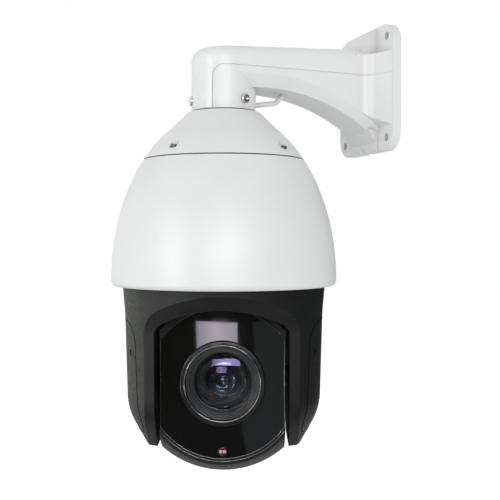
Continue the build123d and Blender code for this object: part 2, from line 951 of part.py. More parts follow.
def pan_belt():
    low = (pan_pulley_bottom + pan_pulley_top - belt_width) / 2
    loop = belt_loop(
        pan_pulley_radius, motor_pulley_radius, pan_motor_offset, low, low + belt_width
    )
    return on_dome(loop)


def pan_pulley():
    """Pulley on the hub, with a collar up to the bearing's inner race."""
    flange = pan_pulley_radius + pulley_flange_extra
    bore = hub_radius + bearing_fit
    body = pulley(pan_pulley_radius, flange, bore, pan_pulley_bottom, pulley_length)
    collar = (hub_radius + pan_bearing_outer) / 2 - race_land
    return on_pan(body + ring(bore, collar, pan_pulley_top, base_plate_top))


def pan_hub():
    """Hollow shaft on the yoke that turns in the pan bearing."""
    flange_top = yoke_top_z + hub_flange_thickness
    body = disc(hub_radius, yoke_top_z, hub_top)
    body += disc(hub_shoulder_radius, yoke_top_z, pan_pulley_bottom)
    body += disc(hub_flange_radius, yoke_top_z, flange_top)
    body -= disc(hub_bore_radius, yoke_top_z - 1, hub_top + 1)
    groove = base_plate_top + pan_bearing_width
    body -= ring(hub_radius - circlip_depth, hub_radius + 1, groove, groove + circlip_thickness)
    return on_pan(body)


def pan_circlip():
    low = base_plate_top + pan_bearing_width
    inner = hub_radius - circlip_depth
    body = ring(inner, hub_radius + circlip_reach, low, low + circlip_thickness)
    return on_pan(body - Pos(hub_radius, 0, low) * Box(8, 5, 10))


def pan_bearing():
    return bearing(
        hub_radius,
        pan_bearing_outer,
        pan_bearing_width,
        pan_ball_radius,
        pan_ball_count,
        base_plate_top,
    )


# ---------------------------------------------------------------- slip ring

def slip_ring_rotor():
    radius = hub_bore_radius - slip_ring_clearance
    top = hub_top + slip_ring_flange_thickness
    body = disc(radius, hub_top - slip_ring_depth - 3, hub_top)
    body += disc(slip_ring_flange, hub_top, top)
    bore = slip_ring_core_radius + slip_ring_clearance
    return on_pan(body - disc(bore, hub_top - slip_ring_depth, top + 1))


def slip_ring_stator():
    low = hub_top + slip_ring_flange_thickness + slip_ring_clearance
    shoulder = low + slip_ring_body_height
    body = disc(slip_ring_core_radius, hub_top - slip_ring_depth + 1, low)
    body += disc(slip_ring_body_radius, low, shoulder)
    body += disc(slip_ring_stub_radius, shoulder, shoulder + slip_ring_stub_height)
    return on_dome(body)


def slip_ring_bridge():
    """Sheet bridge on the base plate that keeps the slip ring's still half from turning."""
    low = hub_top + slip_ring_flange_thickness + slip_ring_clearance + slip_ring_body_height
    high = low + bridge_thickness
    depth = 2 * bridge_half_width
    body = block(2 * bridge_half_length, depth, low, high)
    body -= disc(slip_ring_stub_radius + screw_clearance, low - 1, high + 1)
    for side in (-1, 1):
        leg_x = side * (bridge_half_length - bridge_thickness / 2)
        body += Pos(leg_x, 0, 0) * block(bridge_thickness, depth, base_plate_top, high)
        foot_x = side * (bridge_half_length + bridge_foot / 2 - bridge_thickness / 2)
        foot_high = base_plate_top + bridge_thickness
        body += Pos(foot_x, 0, 0) * block(bridge_foot, depth, base_plate_top, foot_high)
    return on_dome(body)


# ---------------------------------------------------------------- yoke

def yoke_outline(inset=0.0):
    """Half section of the yoke's outside, from the axis out, in the XZ plane."""
    centre = (yoke_side_radius - yoke_lower_curve, yoke_side_z)
    curve = CenterArc(centre, yoke_lower_curve - inset, 0, -yoke_lower_turn)
    low = yoke_bottom_z + inset
    end = curve @ 1
    tip = end.X - (end.Y - low) * math.tan(math.radians(yoke_lower_turn))
    edge = Polyline(
        end,
        (tip, low),
        (0, low),
        (0, yoke_top_z - inset),
        (yoke_top_radius - inset, yoke_top_z - inset),
        (yoke_flare_radius - inset, yoke_flare_z),
        (yoke_waist_radius - inset, yoke_waist_z),
        curve @ 0,
    )
    return make_face(curve + edge)


def yoke_solid(inset=0.0):
    return revolve(Plane.XZ * yoke_outline(inset), Axis.Z)


def slot_face():
    """Arch between the legs, open at the bottom."""
    half = slot_half_width
    spring = slot_spring_z
    low = yoke_bottom_z - 10
    arch = ThreePointArc((-half, spring), (0, slot_crown_z), (half, spring))
    sides = Polyline((half, spring), (half, low), (-half, low), (-half, spring))
    face = make_face(arch + sides)
    return fillet(face.vertices().group_by(Axis.Y)[-1], slot_corner)


def cover_face(inset):
    """Outline of an arm cover seen from the side, in the YZ plane."""
    half = cover_half_width - inset
    top = cover_top_z - inset
    low = cover_bottom_z + inset
    outline = Pos(0, (top + low) / 2) * Rectangle(2 * half, top - low)
    upper = outline.vertices().group_by(Axis.Y)[-1]
    outline = fillet(upper, cover_corner_top - inset)
    lower = outline.vertices().group_by(Axis.Y)[0]
    return fillet(lower, max(1.0, cover_corner_bottom - inset))


def side_prism(inset, side):
    """Cover outline run outwards through one side of the yoke."""
    start = slot_half_width + leg_inner_wall
    prism = extrude(Plane.YZ * cover_face(inset), amount=2 * dome_radius)
    return Rot(0, 0, 0 if side > 0 else 180) * Pos(start, 0, 0) * prism


def cover_screw_places(shape):
    """Screw places on one arm cover; the shape is built pointing out along +Z."""
    places = []
    for y in (-cover_screw_y, cover_screw_y):
        radius = yoke_radius_at(cover_screw_z)
        turn = math.degrees(math.asin(y / radius))
        places.append(Rot(0, 0, turn) * Pos(radius, 0, cover_screw_z) * along_x(shape))
    return places


def yoke_radius_at(height):
    share = (yoke_waist_z - height) / (yoke_waist_z - yoke_side_z)
    return yoke_waist_radius + (yoke_side_radius - yoke_waist_radius) * share


def both_sides(shapes):
    return list(shapes) + [Rot(0, 0, 180) * shape for shape in shapes]


def leg_hollow():
    """Room inside both legs for the tilt drive, behind the covers."""
    inner = yoke_solid(yoke_wall)
    start = slot_half_width + leg_inner_wall
    low = yoke_bottom_z + leg_floor
    slab = Box(2 * dome_radius, 4 * dome_radius, leg_roof_z - low)
    slab = Pos(start + dome_radius, 0, (leg_roof_z + low) / 2) * slab
    return [inner & part for part in both_sides([slab])]


def cover_bosses():
    """Posts from the legs' inner walls out to the cover screws."""
    keep = yoke_solid(cover_thickness + cover_gasket_thickness)
    keep &= Pos(slot_half_width + 1 + dome_radius, 0, cover_screw_z) * Box(
        2 * dome_radius, 4 * dome_radius, 4 * cover_boss_radius
    )
    post = disc(cover_boss_radius, slot_half_width - yoke_waist_radius, 0)
    return both_sides([place & keep for place in cover_screw_places(post)])


def tilt_bosses():
    """Bearing seats on the inner wall of both legs."""
    boss = along_x(disc(tilt_boss_radius, slot_half_width, tilt_bearing_end))
    return both_sides([Pos(0, 0, tilt_z) * boss])


def tilt_seat_cuts():
    lip = tilt_bearing_outer - 2.0
    seat = along_x(disc(tilt_bearing_outer, tilt_bearing_start, tilt_bearing_end + 1))
    seat += along_x(disc(lip, slot_half_width - 1, tilt_bearing_start + 0.5))
    return both_sides([Pos(0, 0, tilt_z) * seat])


def yoke():
    body = yoke_solid()
    through = Pos(0, 2 * dome_radius, 0) * extrude(
        Plane.XZ * slot_face(), amount=4 * dome_radius
    )
    body -= through
    body = bevel_slot(body)
    sphere = Pos(0, 0, tilt_z) * Sphere(head_radius + head_cavity_gap)
    room = Pos(0, 0, tilt_z) * Box(2 * slot_half_width, 4 * head_radius, 4 * head_radius)
    body -= sphere & room
    body = cut_all(body, leg_hollow())
    for side in (-1, 1):
        recess = side_prism(0, side) - yoke_solid(cover_thickness + cover_gasket_thickness)
        body -= recess
        body -= side_prism(cover_ledge, side) & yoke_solid(-1)
    for boss in tilt_bosses():
        body += boss
    for boss in cover_bosses():
        body += boss
    body = cut_all(body, tilt_seat_cuts())
    hole = disc(m3_radius + screw_clearance, -cover_screw_depth, 2)
    body = cut_all(body, both_sides(cover_screw_places(hole)))
    body -= disc(hub_bore_radius, tilt_z, yoke_top_z + 1)
    body -= ring(roof_pocket_inner, roof_pocket_outer, yoke_top_z - roof_pocket_depth, yoke_top_z + 1)
    return on_pan(body)


def bevel_slot(body):
    """Bevel all round the front and back mouths of the slot."""
    mouth = [
        edge
        for edge in body.edges()
        if abs(edge.center().X) < slot_half_width + 0.1
        and abs(edge.center().Y) > slot_half_width / 2
        and yoke_bottom_z + 1 < edge.center().Z < slot_crown_z + 1
    ]
    return chamfer(mouth, slot_bevel_face, slot_bevel_depth)


def arm_cover(side):
    body = side_prism(cover_gap, side) & yoke_solid()
    body -= yoke_solid(cover_thickness)
    sink = disc(m3_head_radius + 0.4, -m3_head_height - cover_screw_sink, 5)
    hole = disc(m3_radius + screw_clearance, -cover_screw_depth, 2)
    turn = Rot(0, 0, 0 if side > 0 else 180)
    for place in cover_screw_places(sink) + cover_screw_places(hole):
        body -= turn * place
    return on_pan(body)


def arm_cover_gaskets():
    body = side_prism(cover_gap, 1) - side_prism(cover_ledge, 1)
    body &= yoke_solid(cover_thickness + touch_gap)
    body -= yoke_solid(cover_thickness + cover_gasket_thickness - touch_gap)
    hole = disc(m3_radius + screw_clearance, -cover_screw_depth, 2)
    body = cut_all(body, cover_screw_places(hole))
    return on_pan(group(both_sides([body])))


def arm_cover_screws():
    screw = Pos(0, 0, -m3_head_height - cover_screw_sink) * m3_screw(8)
    return on_pan(group(both_sides(cover_screw_places(screw))))


# ---------------------------------------------------------------- tilt axis

def tilt_bearings():
    inner, outer, balls = bearing(
        tilt_shaft_radius,
        tilt_bearing_outer,
        tilt_bearing_width,
        tilt_ball_radius,
        tilt_ball_count,
        tilt_bearing_start,
    )
    lift = Pos(0, 0, tilt_z)
    sets = []
    for parts in ([inner], [outer], balls):
        sets.append(on_pan(group(both_sides([lift * along_x(p) for p in parts]))))
    return sets


def tilt_shafts():
    """Hollow stub shafts pressed into the camera chassis; the left one carries the pulley."""
    low = head_inner_side - tilt_stub_length
    ends = {1: tilt_bearing_end + 1.5, -1: tilt_pulley_start + tilt_pulley_length}
    shafts = []
    for side, end in ends.items():
        body = disc(tilt_shaft_radius, low, end)
        body += disc(tilt_shoulder_radius, head_inner_side, tilt_bearing_start)
        body -= disc(tilt_shaft_bore, low - 1, end + 1)
        turn = Rot(0, 0, 0 if side > 0 else 180)
        shafts.append(turn * Pos(0, 0, tilt_z) * along_x(body))
    return on_pan(group(shafts))


def tilt_pulley():
    flange = tilt_pulley_radius + pulley_flange_extra
    bore = tilt_shaft_radius + tilt_pulley_bore_land
    body = pulley(tilt_pulley_radius, flange, bore, tilt_pulley_start, tilt_pulley_length)
    return on_pan(Rot(0, 0, 180) * Pos(0, 0, tilt_z) * along_x(body))


def on_tilt_motor(shape):
    """Place a shape built along +Z, outwards through the drive-side leg."""
    lift = Pos(0, 0, tilt_z + tilt_motor_rise)
    return on_pan(Rot(0, 0, 180) * lift * along_x(shape))


def tilt_motor():
    body = Pos(0, 0, tilt_motor_face) * square_motor(tilt_motor_size, tilt_motor_depth)
    low = tilt_motor_face - 1
    hole = disc(motor_shaft_radius + motor_shaft_gap, low, low + tilt_motor_depth / 2)
    return on_tilt_motor(body - hole)


def tilt_motor_pulley():
    shaft_end = tilt_motor_face + tilt_motor_depth / 3
    return on_tilt_motor(motor_pulley(tilt_pulley_start, tilt_pulley_length, shaft_end))


def tilt_belt():
    low = tilt_pulley_start + (tilt_pulley_length - tilt_belt_width) / 2
    high = low + tilt_belt_width
    loop = belt_loop(tilt_pulley_radius, motor_pulley_radius, tilt_motor_rise, low, high)
    return on_pan(Rot(0, 0, 180) * Pos(0, 0, tilt_z) * Plane.YZ.location * loop)


# ---------------------------------------------------------------- camera head

def head_blank(inset=0.0):
    """Ball cut flat on both sides, in the lens frame."""
    half = head_half_width - inset
    return Sphere(head_radius - inset) & Box(2 * half, 4 * head_radius, 4 * head_radius)


def head_slice(low, high, inset=0.0):
    slab = Pos(0, 0, (low + high) / 2) * Box(4 * head_radius, 4 * head_radius, high - low)
    return head_blank(inset) & slab


def head_screw_places(shape):
    return [Pos(x, y, 0) * shape for x, y in corners(head_screw_x, head_screw_y)]


def glass_face(gap=0.0):
    """Outline of the front glass grown by a gap."""
    strip = Rectangle(2 * (glass_half_width + gap), 4 * glass_radius)
    return Circle(glass_radius + gap) & strip


def head_rear_shell():
    rear = head_split - head_gasket_thickness
    body = head_slice(-head_radius, rear) - head_blank(head_wall)
    column = disc(head_boss_radius, -head_radius, rear)
    for place in head_screw_places(column):
        body += place & head_blank(0.5)
    seat = head_split - head_screw_length
    sink = disc(m4_head_radius + 0.5, -head_radius, seat)
    body = cut_all(body, head_screw_places(sink))
    body = cut_all(body, head_screw_places(disc(m4_radius + screw_clearance, seat - 1, rear + 1)))
    shaft_hole = Rot(0, 90, 0) * Cylinder(tilt_shoulder_radius + 0.4, 4 * head_half_width)
    return on_lens(body - shaft_hole)


def head_gasket():
    low = head_split - head_gasket_thickness
    body = head_slice(low, head_split, head_gasket_inset)
    return on_lens(body - head_blank(head_gasket_inset + head_gasket_width))


def head_front_shell():
    seat_back = head_front - glass_thickness - glass_seat_thickness
    body = head_slice(head_split, head_front) - head_slice(head_split - 1, seat_back, head_wall)
    opening = glass_face(-glass_seat_width)
    body -= Pos(0, 0, seat_back - 1) * extrude(opening, amount=2 * glass_thickness + 10)
    rebate = Pos(0, 0, seat_back + glass_seat_thickness)
    body -= rebate * extrude(glass_face(glass_gap), amount=glass_thickness + 5)
    body -= disc(bezel_flange_radius + bezel_gap, seat_back - 1, head_front)
    boss = disc(head_boss_radius, head_split, head_split + head_boss_length)
    for place in head_screw_places(boss):
        body += place & head_blank(0.5)
    hole = disc(m4_radius + screw_clearance, head_split - 1, head_split + head_boss_length - 2)
    return on_lens(cut_all(body, head_screw_places(hole)))


def head_screws():
    length = head_screw_length + head_boss_length - 4
    screw = Pos(0, 0, head_split - head_screw_length) * Rot(180, 0, 0) * m4_screw(length)
    return on_lens(group(head_screw_places(screw)))


def glass_seal():
    outline = glass_face(-0.5) - glass_face(-glass_seat_width + 0.3)
    low = head_front - glass_thickness
    seal = Pos(0, 0, low) * extrude(outline, amount=glass_seal_thickness)
    return on_lens(seal - disc(bezel_flange_radius + bezel_gap, low - 1, head_front))


def front_glass():
    body = Pos(0, 0, glass_back) * extrude(glass_face(), amount=glass_thickness)
    body = chamfer(body.edges().group_by(Axis.Z)[-1], glass_edge_chamfer)
    body -= disc(bezel_radius + bezel_gap, glass_back - 1, glass_back + 10)
    sensor = Pos(0, -light_sensor_drop, 0) * disc(
        light_sensor_radius + light_sensor_gap, glass_back - 1, glass_back + 10
    )
    return on_lens(body - sensor)


def lens_bezel():
    """Trim ring round the lens, clamped behind the glass by its flange."""
    front = glass_back + glass_thickness + bezel_proud
    body = disc(bezel_radius, front - bezel_depth, front)
    body = fillet(body.edges().group_by(Axis.Z)[-1], bezel_edge_fillet)
    inner = bezel_inner_radius - bezel_funnel_inward
    body -= disc(inner, front - bezel_depth - 1, front + 1)
    funnel = Cone(
        inner,
        bezel_inner_radius + bezel_funnel_outward,
        bezel_proud + 2,
        align=(Align.CENTER, Align.CENTER, Align.MAX),
    )
    body -= Pos(0, 0, front) * funnel
    low = glass_back - bezel_flange_thickness
    return on_lens(body + ring(inner, bezel_flange_radius, low, glass_back))


# ---------------------------------------------------------------- lens block

def lens_barrel():
    """Fixed tube of the zoom lens with stepped rim, filter wall and mounting flange."""
    rim_radius = bezel_inner_radius - 0.8 - barrel_rim_clearance
    body = disc(barrel_radius, barrel_rear, barrel_front)
    body += disc(rim_radius, barrel_front - barrel_rim_length, barrel_front)
    flange = chassis_front + barrel_flange_thickness
    body += disc(barrel_flange_radius, chassis_front, flange)
    pad_length = lens_motor_length
    pad = Box(2 * barrel_pad, 2 * (barrel_radius + barrel_pad_height), pad_length)
    body += Pos(0, 0, chassis_front - chassis_wall - 2 - pad_length / 2) * pad
    body -= disc(barrel_bore, barrel_rear - 1, front_lens_seat)
    body -= disc(front_lens_radius + lens_seat_gap, front_lens_seat, barrel_front + 1)
    body -= disc(barrel_rim_throat, front_lens_seat + front_lens_edge, barrel_front + 1)
    body -= disc(barrel_rim_step, barrel_front - 2.2, barrel_front + 1)
    wall = ring(
        filter_aperture,
        barrel_bore + 0.5,
        filter_wall_position,
        filter_wall_position + filter_wall_thickness,
    )
    return on_lens(body + wall)


def front_lens():
    body = lens(
        front_lens_radius, front_lens_edge, front_lens_bulge, -front_lens_hollow
    )
    return on_lens(Pos(0, 0, front_lens_seat) * body)


def carriage(aperture, length, centre):
    """Sliding lens holder with holes for the two guide rods."""
    outer = barrel_bore - carriage_clearance
    body = ring(aperture, outer, centre - length / 2, centre + length / 2)
    hole = Pos(0, guide_rod_circle, centre) * Cylinder(
        guide_rod_radius + guide_rod_clearance, 2 * length
    )
    return cut_all(body, around(hole, 2))


def zoom_carriage():
    aperture = zoom_lens_radius + lens_seat_gap
    return on_lens(carriage(aperture, zoom_length, zoom_position))


def zoom_lens():
    body = lens(zoom_lens_radius, zoom_lens_edge, zoom_lens_bulge, zoom_lens_bulge * 0.5)
    return on_lens(Pos(0, 0, zoom_position - zoom_lens_edge / 2) * body)


def focus_carriage():
    aperture = focus_lens_radius + lens_seat_gap
    return on_lens(carriage(aperture, focus_length, focus_position))


def focus_lens():
    body = lens(focus_lens_radius, focus_lens_edge, focus_lens_bulge, focus_lens_bulge)
    return on_lens(Pos(0, 0, focus_position - focus_lens_edge / 2) * body)


def guide_rods():
    low = filter_wall_position + filter_wall_thickness
    rod = Pos(0, guide_rod_circle, 0) * disc(guide_rod_radius, low, front_lens_seat - 0.5)
    return on_lens(group(around(rod, 2)))


def iris_unit():
    """Fixed ring between the two moving groups, with the iris in its aperture."""
    low = iris_position
    body = ring(iris_aperture, barrel_bore - lens_seat_gap, low, low + iris_thickness)
    hole = Pos(0, guide_rod_circle, low) * Cylinder(
        guide_rod_radius + guide_rod_clearance, 4 * iris_thickness
    )
    return on_lens(cut_all(body, around(hole, 2)))


def infrared_filter():
    """Slider behind the filter wall that holds the infrared-cut glass."""
    high = filter_wall_position - filter_gap
    return on_lens(block(2 * filter_half_width, 2 * filter_half_height, high - filter_thickness, high))


def sensor_board():
    """Board closing the barrel's rear end, with the image sensor on its front."""
    board = block(sensor_board_size, sensor_board_size, barrel_rear - board_thickness, barrel_rear)
    chip = block(sensor_width, sensor_height, barrel_rear, barrel_rear + sensor_thickness)
    return on_lens(board + chip)


def lens_motors():
    """Zoom and focus steppers on the barrel's two pads."""
    centre = chassis_front - chassis_wall - 2 - lens_motor_length / 2
    seat = barrel_radius + barrel_pad_height
    motors = []
    for side in (-1, 1):
        y = side * (seat + lens_motor_height / 2)
        box = Box(lens_motor_width, lens_motor_height, lens_motor_length)
        motors.append(Pos(0, y, centre) * box)
    return on_lens(group(motors))


def camera_chassis():
    """Frame that carries the lens block between the two tilt shafts."""
    length = chassis_front - chassis_rear
    middle = (chassis_front + chassis_rear) / 2
    half = head_inner_side
    body = Pos(0, 0, middle) * Box(2 * half, 2 * chassis_half_height, length)
    inner = Box(2 * (half - chassis_wall), 4 * chassis_half_height, length - 2 * chassis_wall)
    body -= Pos(0, 0, middle) * inner
    body -= disc(barrel_radius + chassis_bore_gap, chassis_front - 2 * chassis_wall, chassis_front + 1)
    shaft_hole = Rot(0, 90, 0) * Cylinder(tilt_shaft_radius + chassis_bore_gap, 4 * half)
    return on_lens(body - shaft_hole)


# ---------------------------------------------------------------- infrared board

def ir_board():
    front = ir_board_front
    outline = glass_face(-ir_board_margin)
    body = Pos(0, 0, front - board_thickness) * extrude(outline, amount=board_thickness)
    return on_lens(body - disc(ir_board_hole, front - 5, front + 5))


def ir_led_places(shape):
    """Places above and below the lens, clear of the light sensor."""
    places = []
    for side in (90, -90):
        for step in (-1.5, -0.5, 0.5, 1.5):
            angle = math.radians(side + step * ir_led_step)
            x = ir_led_circle * math.cos(angle)
            y = ir_led_circle * math.sin(angle)
            places.append(Pos(x, y, 0) * shape)
    return places


def ir_leds():
    high = glass_back - 0.4
    body = disc(ir_led_radius, ir_board_front, high - ir_led_dome)
    body += disc(ir_led_radius * 0.8, high - ir_led_dome, high)
    return on_lens(group(ir_led_places(body)))


def light_sensor():
    high = glass_back + glass_thickness + light_sensor_proud
    body = disc(light_sensor_radius, ir_board_front, high)
    body = fillet(body.edges().group_by(Axis.Z)[-1], 0.8)
    return on_lens(Pos(0, -light_sensor_drop, 0) * body)


# ---------------------------------------------------------------- writing

def parts():
    pan_inner, pan_outer, pan_balls = pan_bearing()
    tilt_inner, tilt_outer, tilt_balls = tilt_bearings()
    return {
        "wall_bracket": wall_bracket(),
        "neck_clamp_screws": neck_clamp_screws(),
        "pipe_adapter": pipe_adapter(),
        "cable_gland": cable_gland(),
        "top_cap": top_cap(),
        "top_cap_screws": top_cap_screws(),
        "seam_gasket": seam_gasket(),
        "main_housing": main_housing(),
        "base_plate": base_plate(),
        "base_plate_screws": base_plate_screws(),
        "board_posts": board_posts(),
        "main_board": main_board(),
        "power_board": power_board(),
        "pan_motor": pan_motor(),
        "pan_motor_pulley": pan_motor_pulley(),
        "pan_belt": pan_belt(),
        "slip_ring_stator": slip_ring_stator(),
        "slip_ring_bridge": slip_ring_bridge(),
        "pan_bearing_outer_race": on_dome(pan_outer),
        "pan_bearing_balls": on_dome(group(pan_balls)),
        "pan_bearing_inner_race": on_pan(pan_inner),
        "pan_hub": pan_hub(),
        "pan_circlip": pan_circlip(),
        "pan_pulley": pan_pulley(),
        "slip_ring_rotor": slip_ring_rotor(),
        "yoke": yoke(),
        "right_arm_cover": arm_cover(1),
        "left_arm_cover": arm_cover(-1),
        "arm_cover_gaskets": arm_cover_gaskets(),
        "arm_cover_screws": arm_cover_screws(),
        "tilt_motor": tilt_motor(),
        "tilt_motor_pulley": tilt_motor_pulley(),
        "tilt_belt": tilt_belt(),
        "tilt_bearing_outer_races": tilt_outer,
        "tilt_bearing_balls": tilt_balls,
        "tilt_bearing_inner_races": tilt_inner,
        "tilt_shafts": tilt_shafts(),
        "tilt_pulley": tilt_pulley(),
        "head_rear_shell": head_rear_shell(),
        "head_gasket": head_gasket(),
        "head_front_shell": head_front_shell(),
        "head_screws": head_screws(),
        "glass_seal": glass_seal(),
        "front_glass": front_glass(),
        "lens_bezel": lens_bezel(),
        "lens_barrel": lens_barrel(),
        "front_lens": front_lens(),
        "zoom_carriage": zoom_carriage(),
        "zoom_lens": zoom_lens(),
        "focus_carriage": focus_carriage(),
        "focus_lens": focus_lens(),
        "guide_rods": guide_rods(),
        "iris_unit": iris_unit(),
        "infrared_filter": infrared_filter(),
        "sensor_board": sensor_board(),
        "lens_motors": lens_motors(),
        "camera_chassis": camera_chassis(),
        "ir_board": ir_board(),
        "ir_leds": ir_leds(),
        "light_sensor": light_sensor(),
    }


os.makedirs("parts", exist_ok=True)
for name, shape in parts().items():
    placed = Compound(shape.solids())
    export_step(placed, f"parts/{name}.step")
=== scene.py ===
import json
import math

import bmesh
import bpy
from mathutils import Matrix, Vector


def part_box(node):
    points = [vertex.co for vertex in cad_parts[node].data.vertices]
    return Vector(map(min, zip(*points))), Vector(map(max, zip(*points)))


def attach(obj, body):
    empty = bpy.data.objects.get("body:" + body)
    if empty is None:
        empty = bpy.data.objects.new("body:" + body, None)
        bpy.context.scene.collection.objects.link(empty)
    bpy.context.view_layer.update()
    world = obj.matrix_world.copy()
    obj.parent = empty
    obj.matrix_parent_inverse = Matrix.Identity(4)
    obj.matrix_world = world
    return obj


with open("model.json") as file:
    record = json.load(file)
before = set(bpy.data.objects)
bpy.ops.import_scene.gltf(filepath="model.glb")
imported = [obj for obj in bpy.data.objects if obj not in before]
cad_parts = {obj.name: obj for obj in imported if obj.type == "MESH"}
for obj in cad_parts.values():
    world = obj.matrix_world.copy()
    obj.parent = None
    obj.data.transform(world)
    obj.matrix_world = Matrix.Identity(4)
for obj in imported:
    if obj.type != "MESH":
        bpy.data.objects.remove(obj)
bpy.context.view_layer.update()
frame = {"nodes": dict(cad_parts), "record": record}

# Every length is in metres, in the frame of the CAD model: the wall is the plane Y = 0, the front
# is -Y and up is +Z. The dome hangs on the pan axis, a vertical line in front of the wall.

nodes = frame["nodes"]
scene = bpy.context.scene

# ---------------------------------------------------------------- places

dome_low, dome_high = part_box("main_housing")
pan_axis = Vector(((dome_low.x + dome_high.x) / 2, (dome_low.y + dome_high.y) / 2, 0))
bezel_low, bezel_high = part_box("lens_bezel")
tilt_height = (bezel_low.z + bezel_high.z) / 2
view_turn = math.radians(70.9)  # how far the yoke is turned about the pan axis, from looking along -Y
ahead = Vector((math.sin(view_turn), -math.cos(view_turn), 0))
aside = Vector((math.cos(view_turn), math.sin(view_turn), 0))
up = Vector((0, 0, 1))


def node_points(name):
    return [vertex.co for vertex in nodes[name].data.vertices]


def reach_of_node(name, direction):
    """How far a node reaches from the pan axis along a direction."""
    return max((point - pan_axis).dot(direction) for point in node_points(name))


glass_ahead = reach_of_node("front_glass", ahead)
bezel_ahead = reach_of_node("lens_bezel", ahead)
bezel_half = bezel_high.z - tilt_height
barrel_ahead = reach_of_node("lens_barrel", ahead)
carriage_ahead = reach_of_node("zoom_carriage", ahead)
sensor_ahead = reach_of_node("light_sensor", ahead)
sensor_low, sensor_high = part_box("light_sensor")
sensor_height = (sensor_low.z + sensor_high.z) / 2
glass_radius = tilt_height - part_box("front_glass")[0].z
glass_half_width = reach_of_node("front_glass", aside)

# ---------------------------------------------------------------- camera

camera_distance = 0.8409
camera_aside = 0.0255
camera_height = -0.1482
camera_pitch = math.radians(-0.905)
camera_lens = 61.5
camera_sensor = 36
camera_near = 0.01


def add_camera():
    data = bpy.data.cameras.new("camera")
    camera = bpy.data.objects.new("camera", data)
    scene.collection.objects.link(camera)
    data.lens = camera_lens
    data.sensor_width = camera_sensor
    data.clip_start = camera_near
    camera.location = pan_axis + ahead * camera_distance + aside * camera_aside + up * camera_height
    camera.rotation_euler = (math.radians(90) + camera_pitch, 0, view_turn)
    scene.camera = camera


# ---------------------------------------------------------------- node helpers

def scaled(color, factor):
    return tuple(part * factor for part in color)


class Look:
    """A new node material with its Principled shader and object coordinates."""

    def __init__(self, name, color, roughness, metallic=0.0):
        self.material = bpy.data.materials.new(name)
        self.material.use_nodes = True
        self.tree = self.material.node_tree
        self.shader = self.tree.nodes["Principled BSDF"]
        self.place = self.tree.nodes.new("ShaderNodeTexCoord").outputs["Object"]
        self.set("Base Color", (*color, 1))
        self.set("Roughness", roughness)
        self.set("Metallic", metallic)

    def set(self, socket, value):
        self.shader.inputs[socket].default_value = value

    def add(self, kind, **settings):
        made = self.tree.nodes.new("ShaderNode" + kind)
        for name, value in settings.items():
            setattr(made, name, value)
        return made

    def link(self, source, target):
        self.tree.links.new(source, target)

    def scaled_place(self, scale):
        """Object coordinates stretched by a vector."""
        mapping = self.add("Mapping")
        mapping.inputs["Scale"].default_value = scale
        self.link(self.place, mapping.inputs["Vector"])
        return mapping.outputs["Vector"]

    def noise(self, scale, detail, roughness=0.5, place=None):
        """Soft noise, the scale being how many of its bumps lie along a metre."""
        made = self.add("TexNoise")
        made.inputs["Scale"].default_value = scale
        made.inputs["Detail"].default_value = detail
        made.inputs["Roughness"].default_value = roughness
        self.link(place or self.place, made.inputs["Vector"])
        return made.outputs["Fac"]

    def cells(self, scale):
        """Round cells, the scale being how many lie along a metre."""
        made = self.add("TexVoronoi")
        made.inputs["Scale"].default_value = scale
        self.link(self.place, made.inputs["Vector"])
        return made.outputs["Distance"]

    def spread(self, value, low, high, from_low=0.35, from_high=0.65):
        """Map a value, by default the busy middle of a noise, onto low..high."""
        made = self.add("MapRange")
        made.inputs["From Min"].default_value = from_low
        made.inputs["From Max"].default_value = from_high
        made.inputs["To Min"].default_value = low
        made.inputs["To Max"].default_value = high
        self.link(value, made.inputs["Value"])
        return made.outputs["Result"]

    def mixed(self, factor, first, second):
        """Mix two colours by a factor; each is a tuple or the output of another node."""
        made = self.add("Mix", data_type="RGBA")
        self.link(factor, made.inputs["Factor"])
        for socket, value in ((made.inputs[6], first), (made.inputs[7], second)):
            if isinstance(value, tuple):
                socket.default_value = (*value, 1)
            else:
                self.link(value, socket)
        return made.outputs[2]

    def mottle(self, scale, detail, first, second):
        """Base colour that drifts between two colours."""
        self.color(self.mixed(self.spread(self.noise(scale, detail), 0, 1), first, second))

    def wear(self, scale, detail, low, high):
        """Roughness that drifts between two values."""
        self.roughness(self.spread(self.noise(scale, detail), low, high))

    def color(self, output):
        self.link(output, self.shader.inputs["Base Color"])

    def roughness(self, output):
        self.link(output, self.shader.inputs["Roughness"])

    def bumps(self, *layers):
        """Stack bump layers, each (height output, strength, distance)."""
        last = None
        for height, strength, distance in layers:
            made = self.add("Bump")
            made.inputs["Strength"].default_value = strength
            made.inputs["Distance"].default_value = distance
            self.link(height, made.inputs["Height"])
            if last is not None:
                self.link(last, made.inputs["Normal"])
            last = made.outputs["Normal"]
        self.link(last, self.shader.inputs["Normal"])

    def rounded_edges(self, radius):
        """Round hard edges in the shading, under the bump layers."""
        made = self.add("Bevel", samples=4)
        made.inputs["Radius"].default_value = radius
        bumps = [node for node in self.tree.nodes if node.type == "BUMP"]
        lowest = next(bump for bump in bumps if not bump.inputs["Normal"].is_linked)
        self.link(made.outputs["Normal"], lowest.inputs["Normal"])

    def painted_corner_shade(self, reach, dark):
        """Painted shade: a value near 1 on open faces that falls to dark in tight corners, where shade
        falls.
        """
        made = self.add("AmbientOcclusion", samples=4)
        made.inputs["Distance"].default_value = reach
        return self.spread(made.outputs["AO"], dark, 1.0, 0.35, 0.9)


# ---------------------------------------------------------------- materials

# Noise scales count bumps per metre, bump distances and rounded edges are in metres, and a pair of
# roughness values is the least and the most of it.

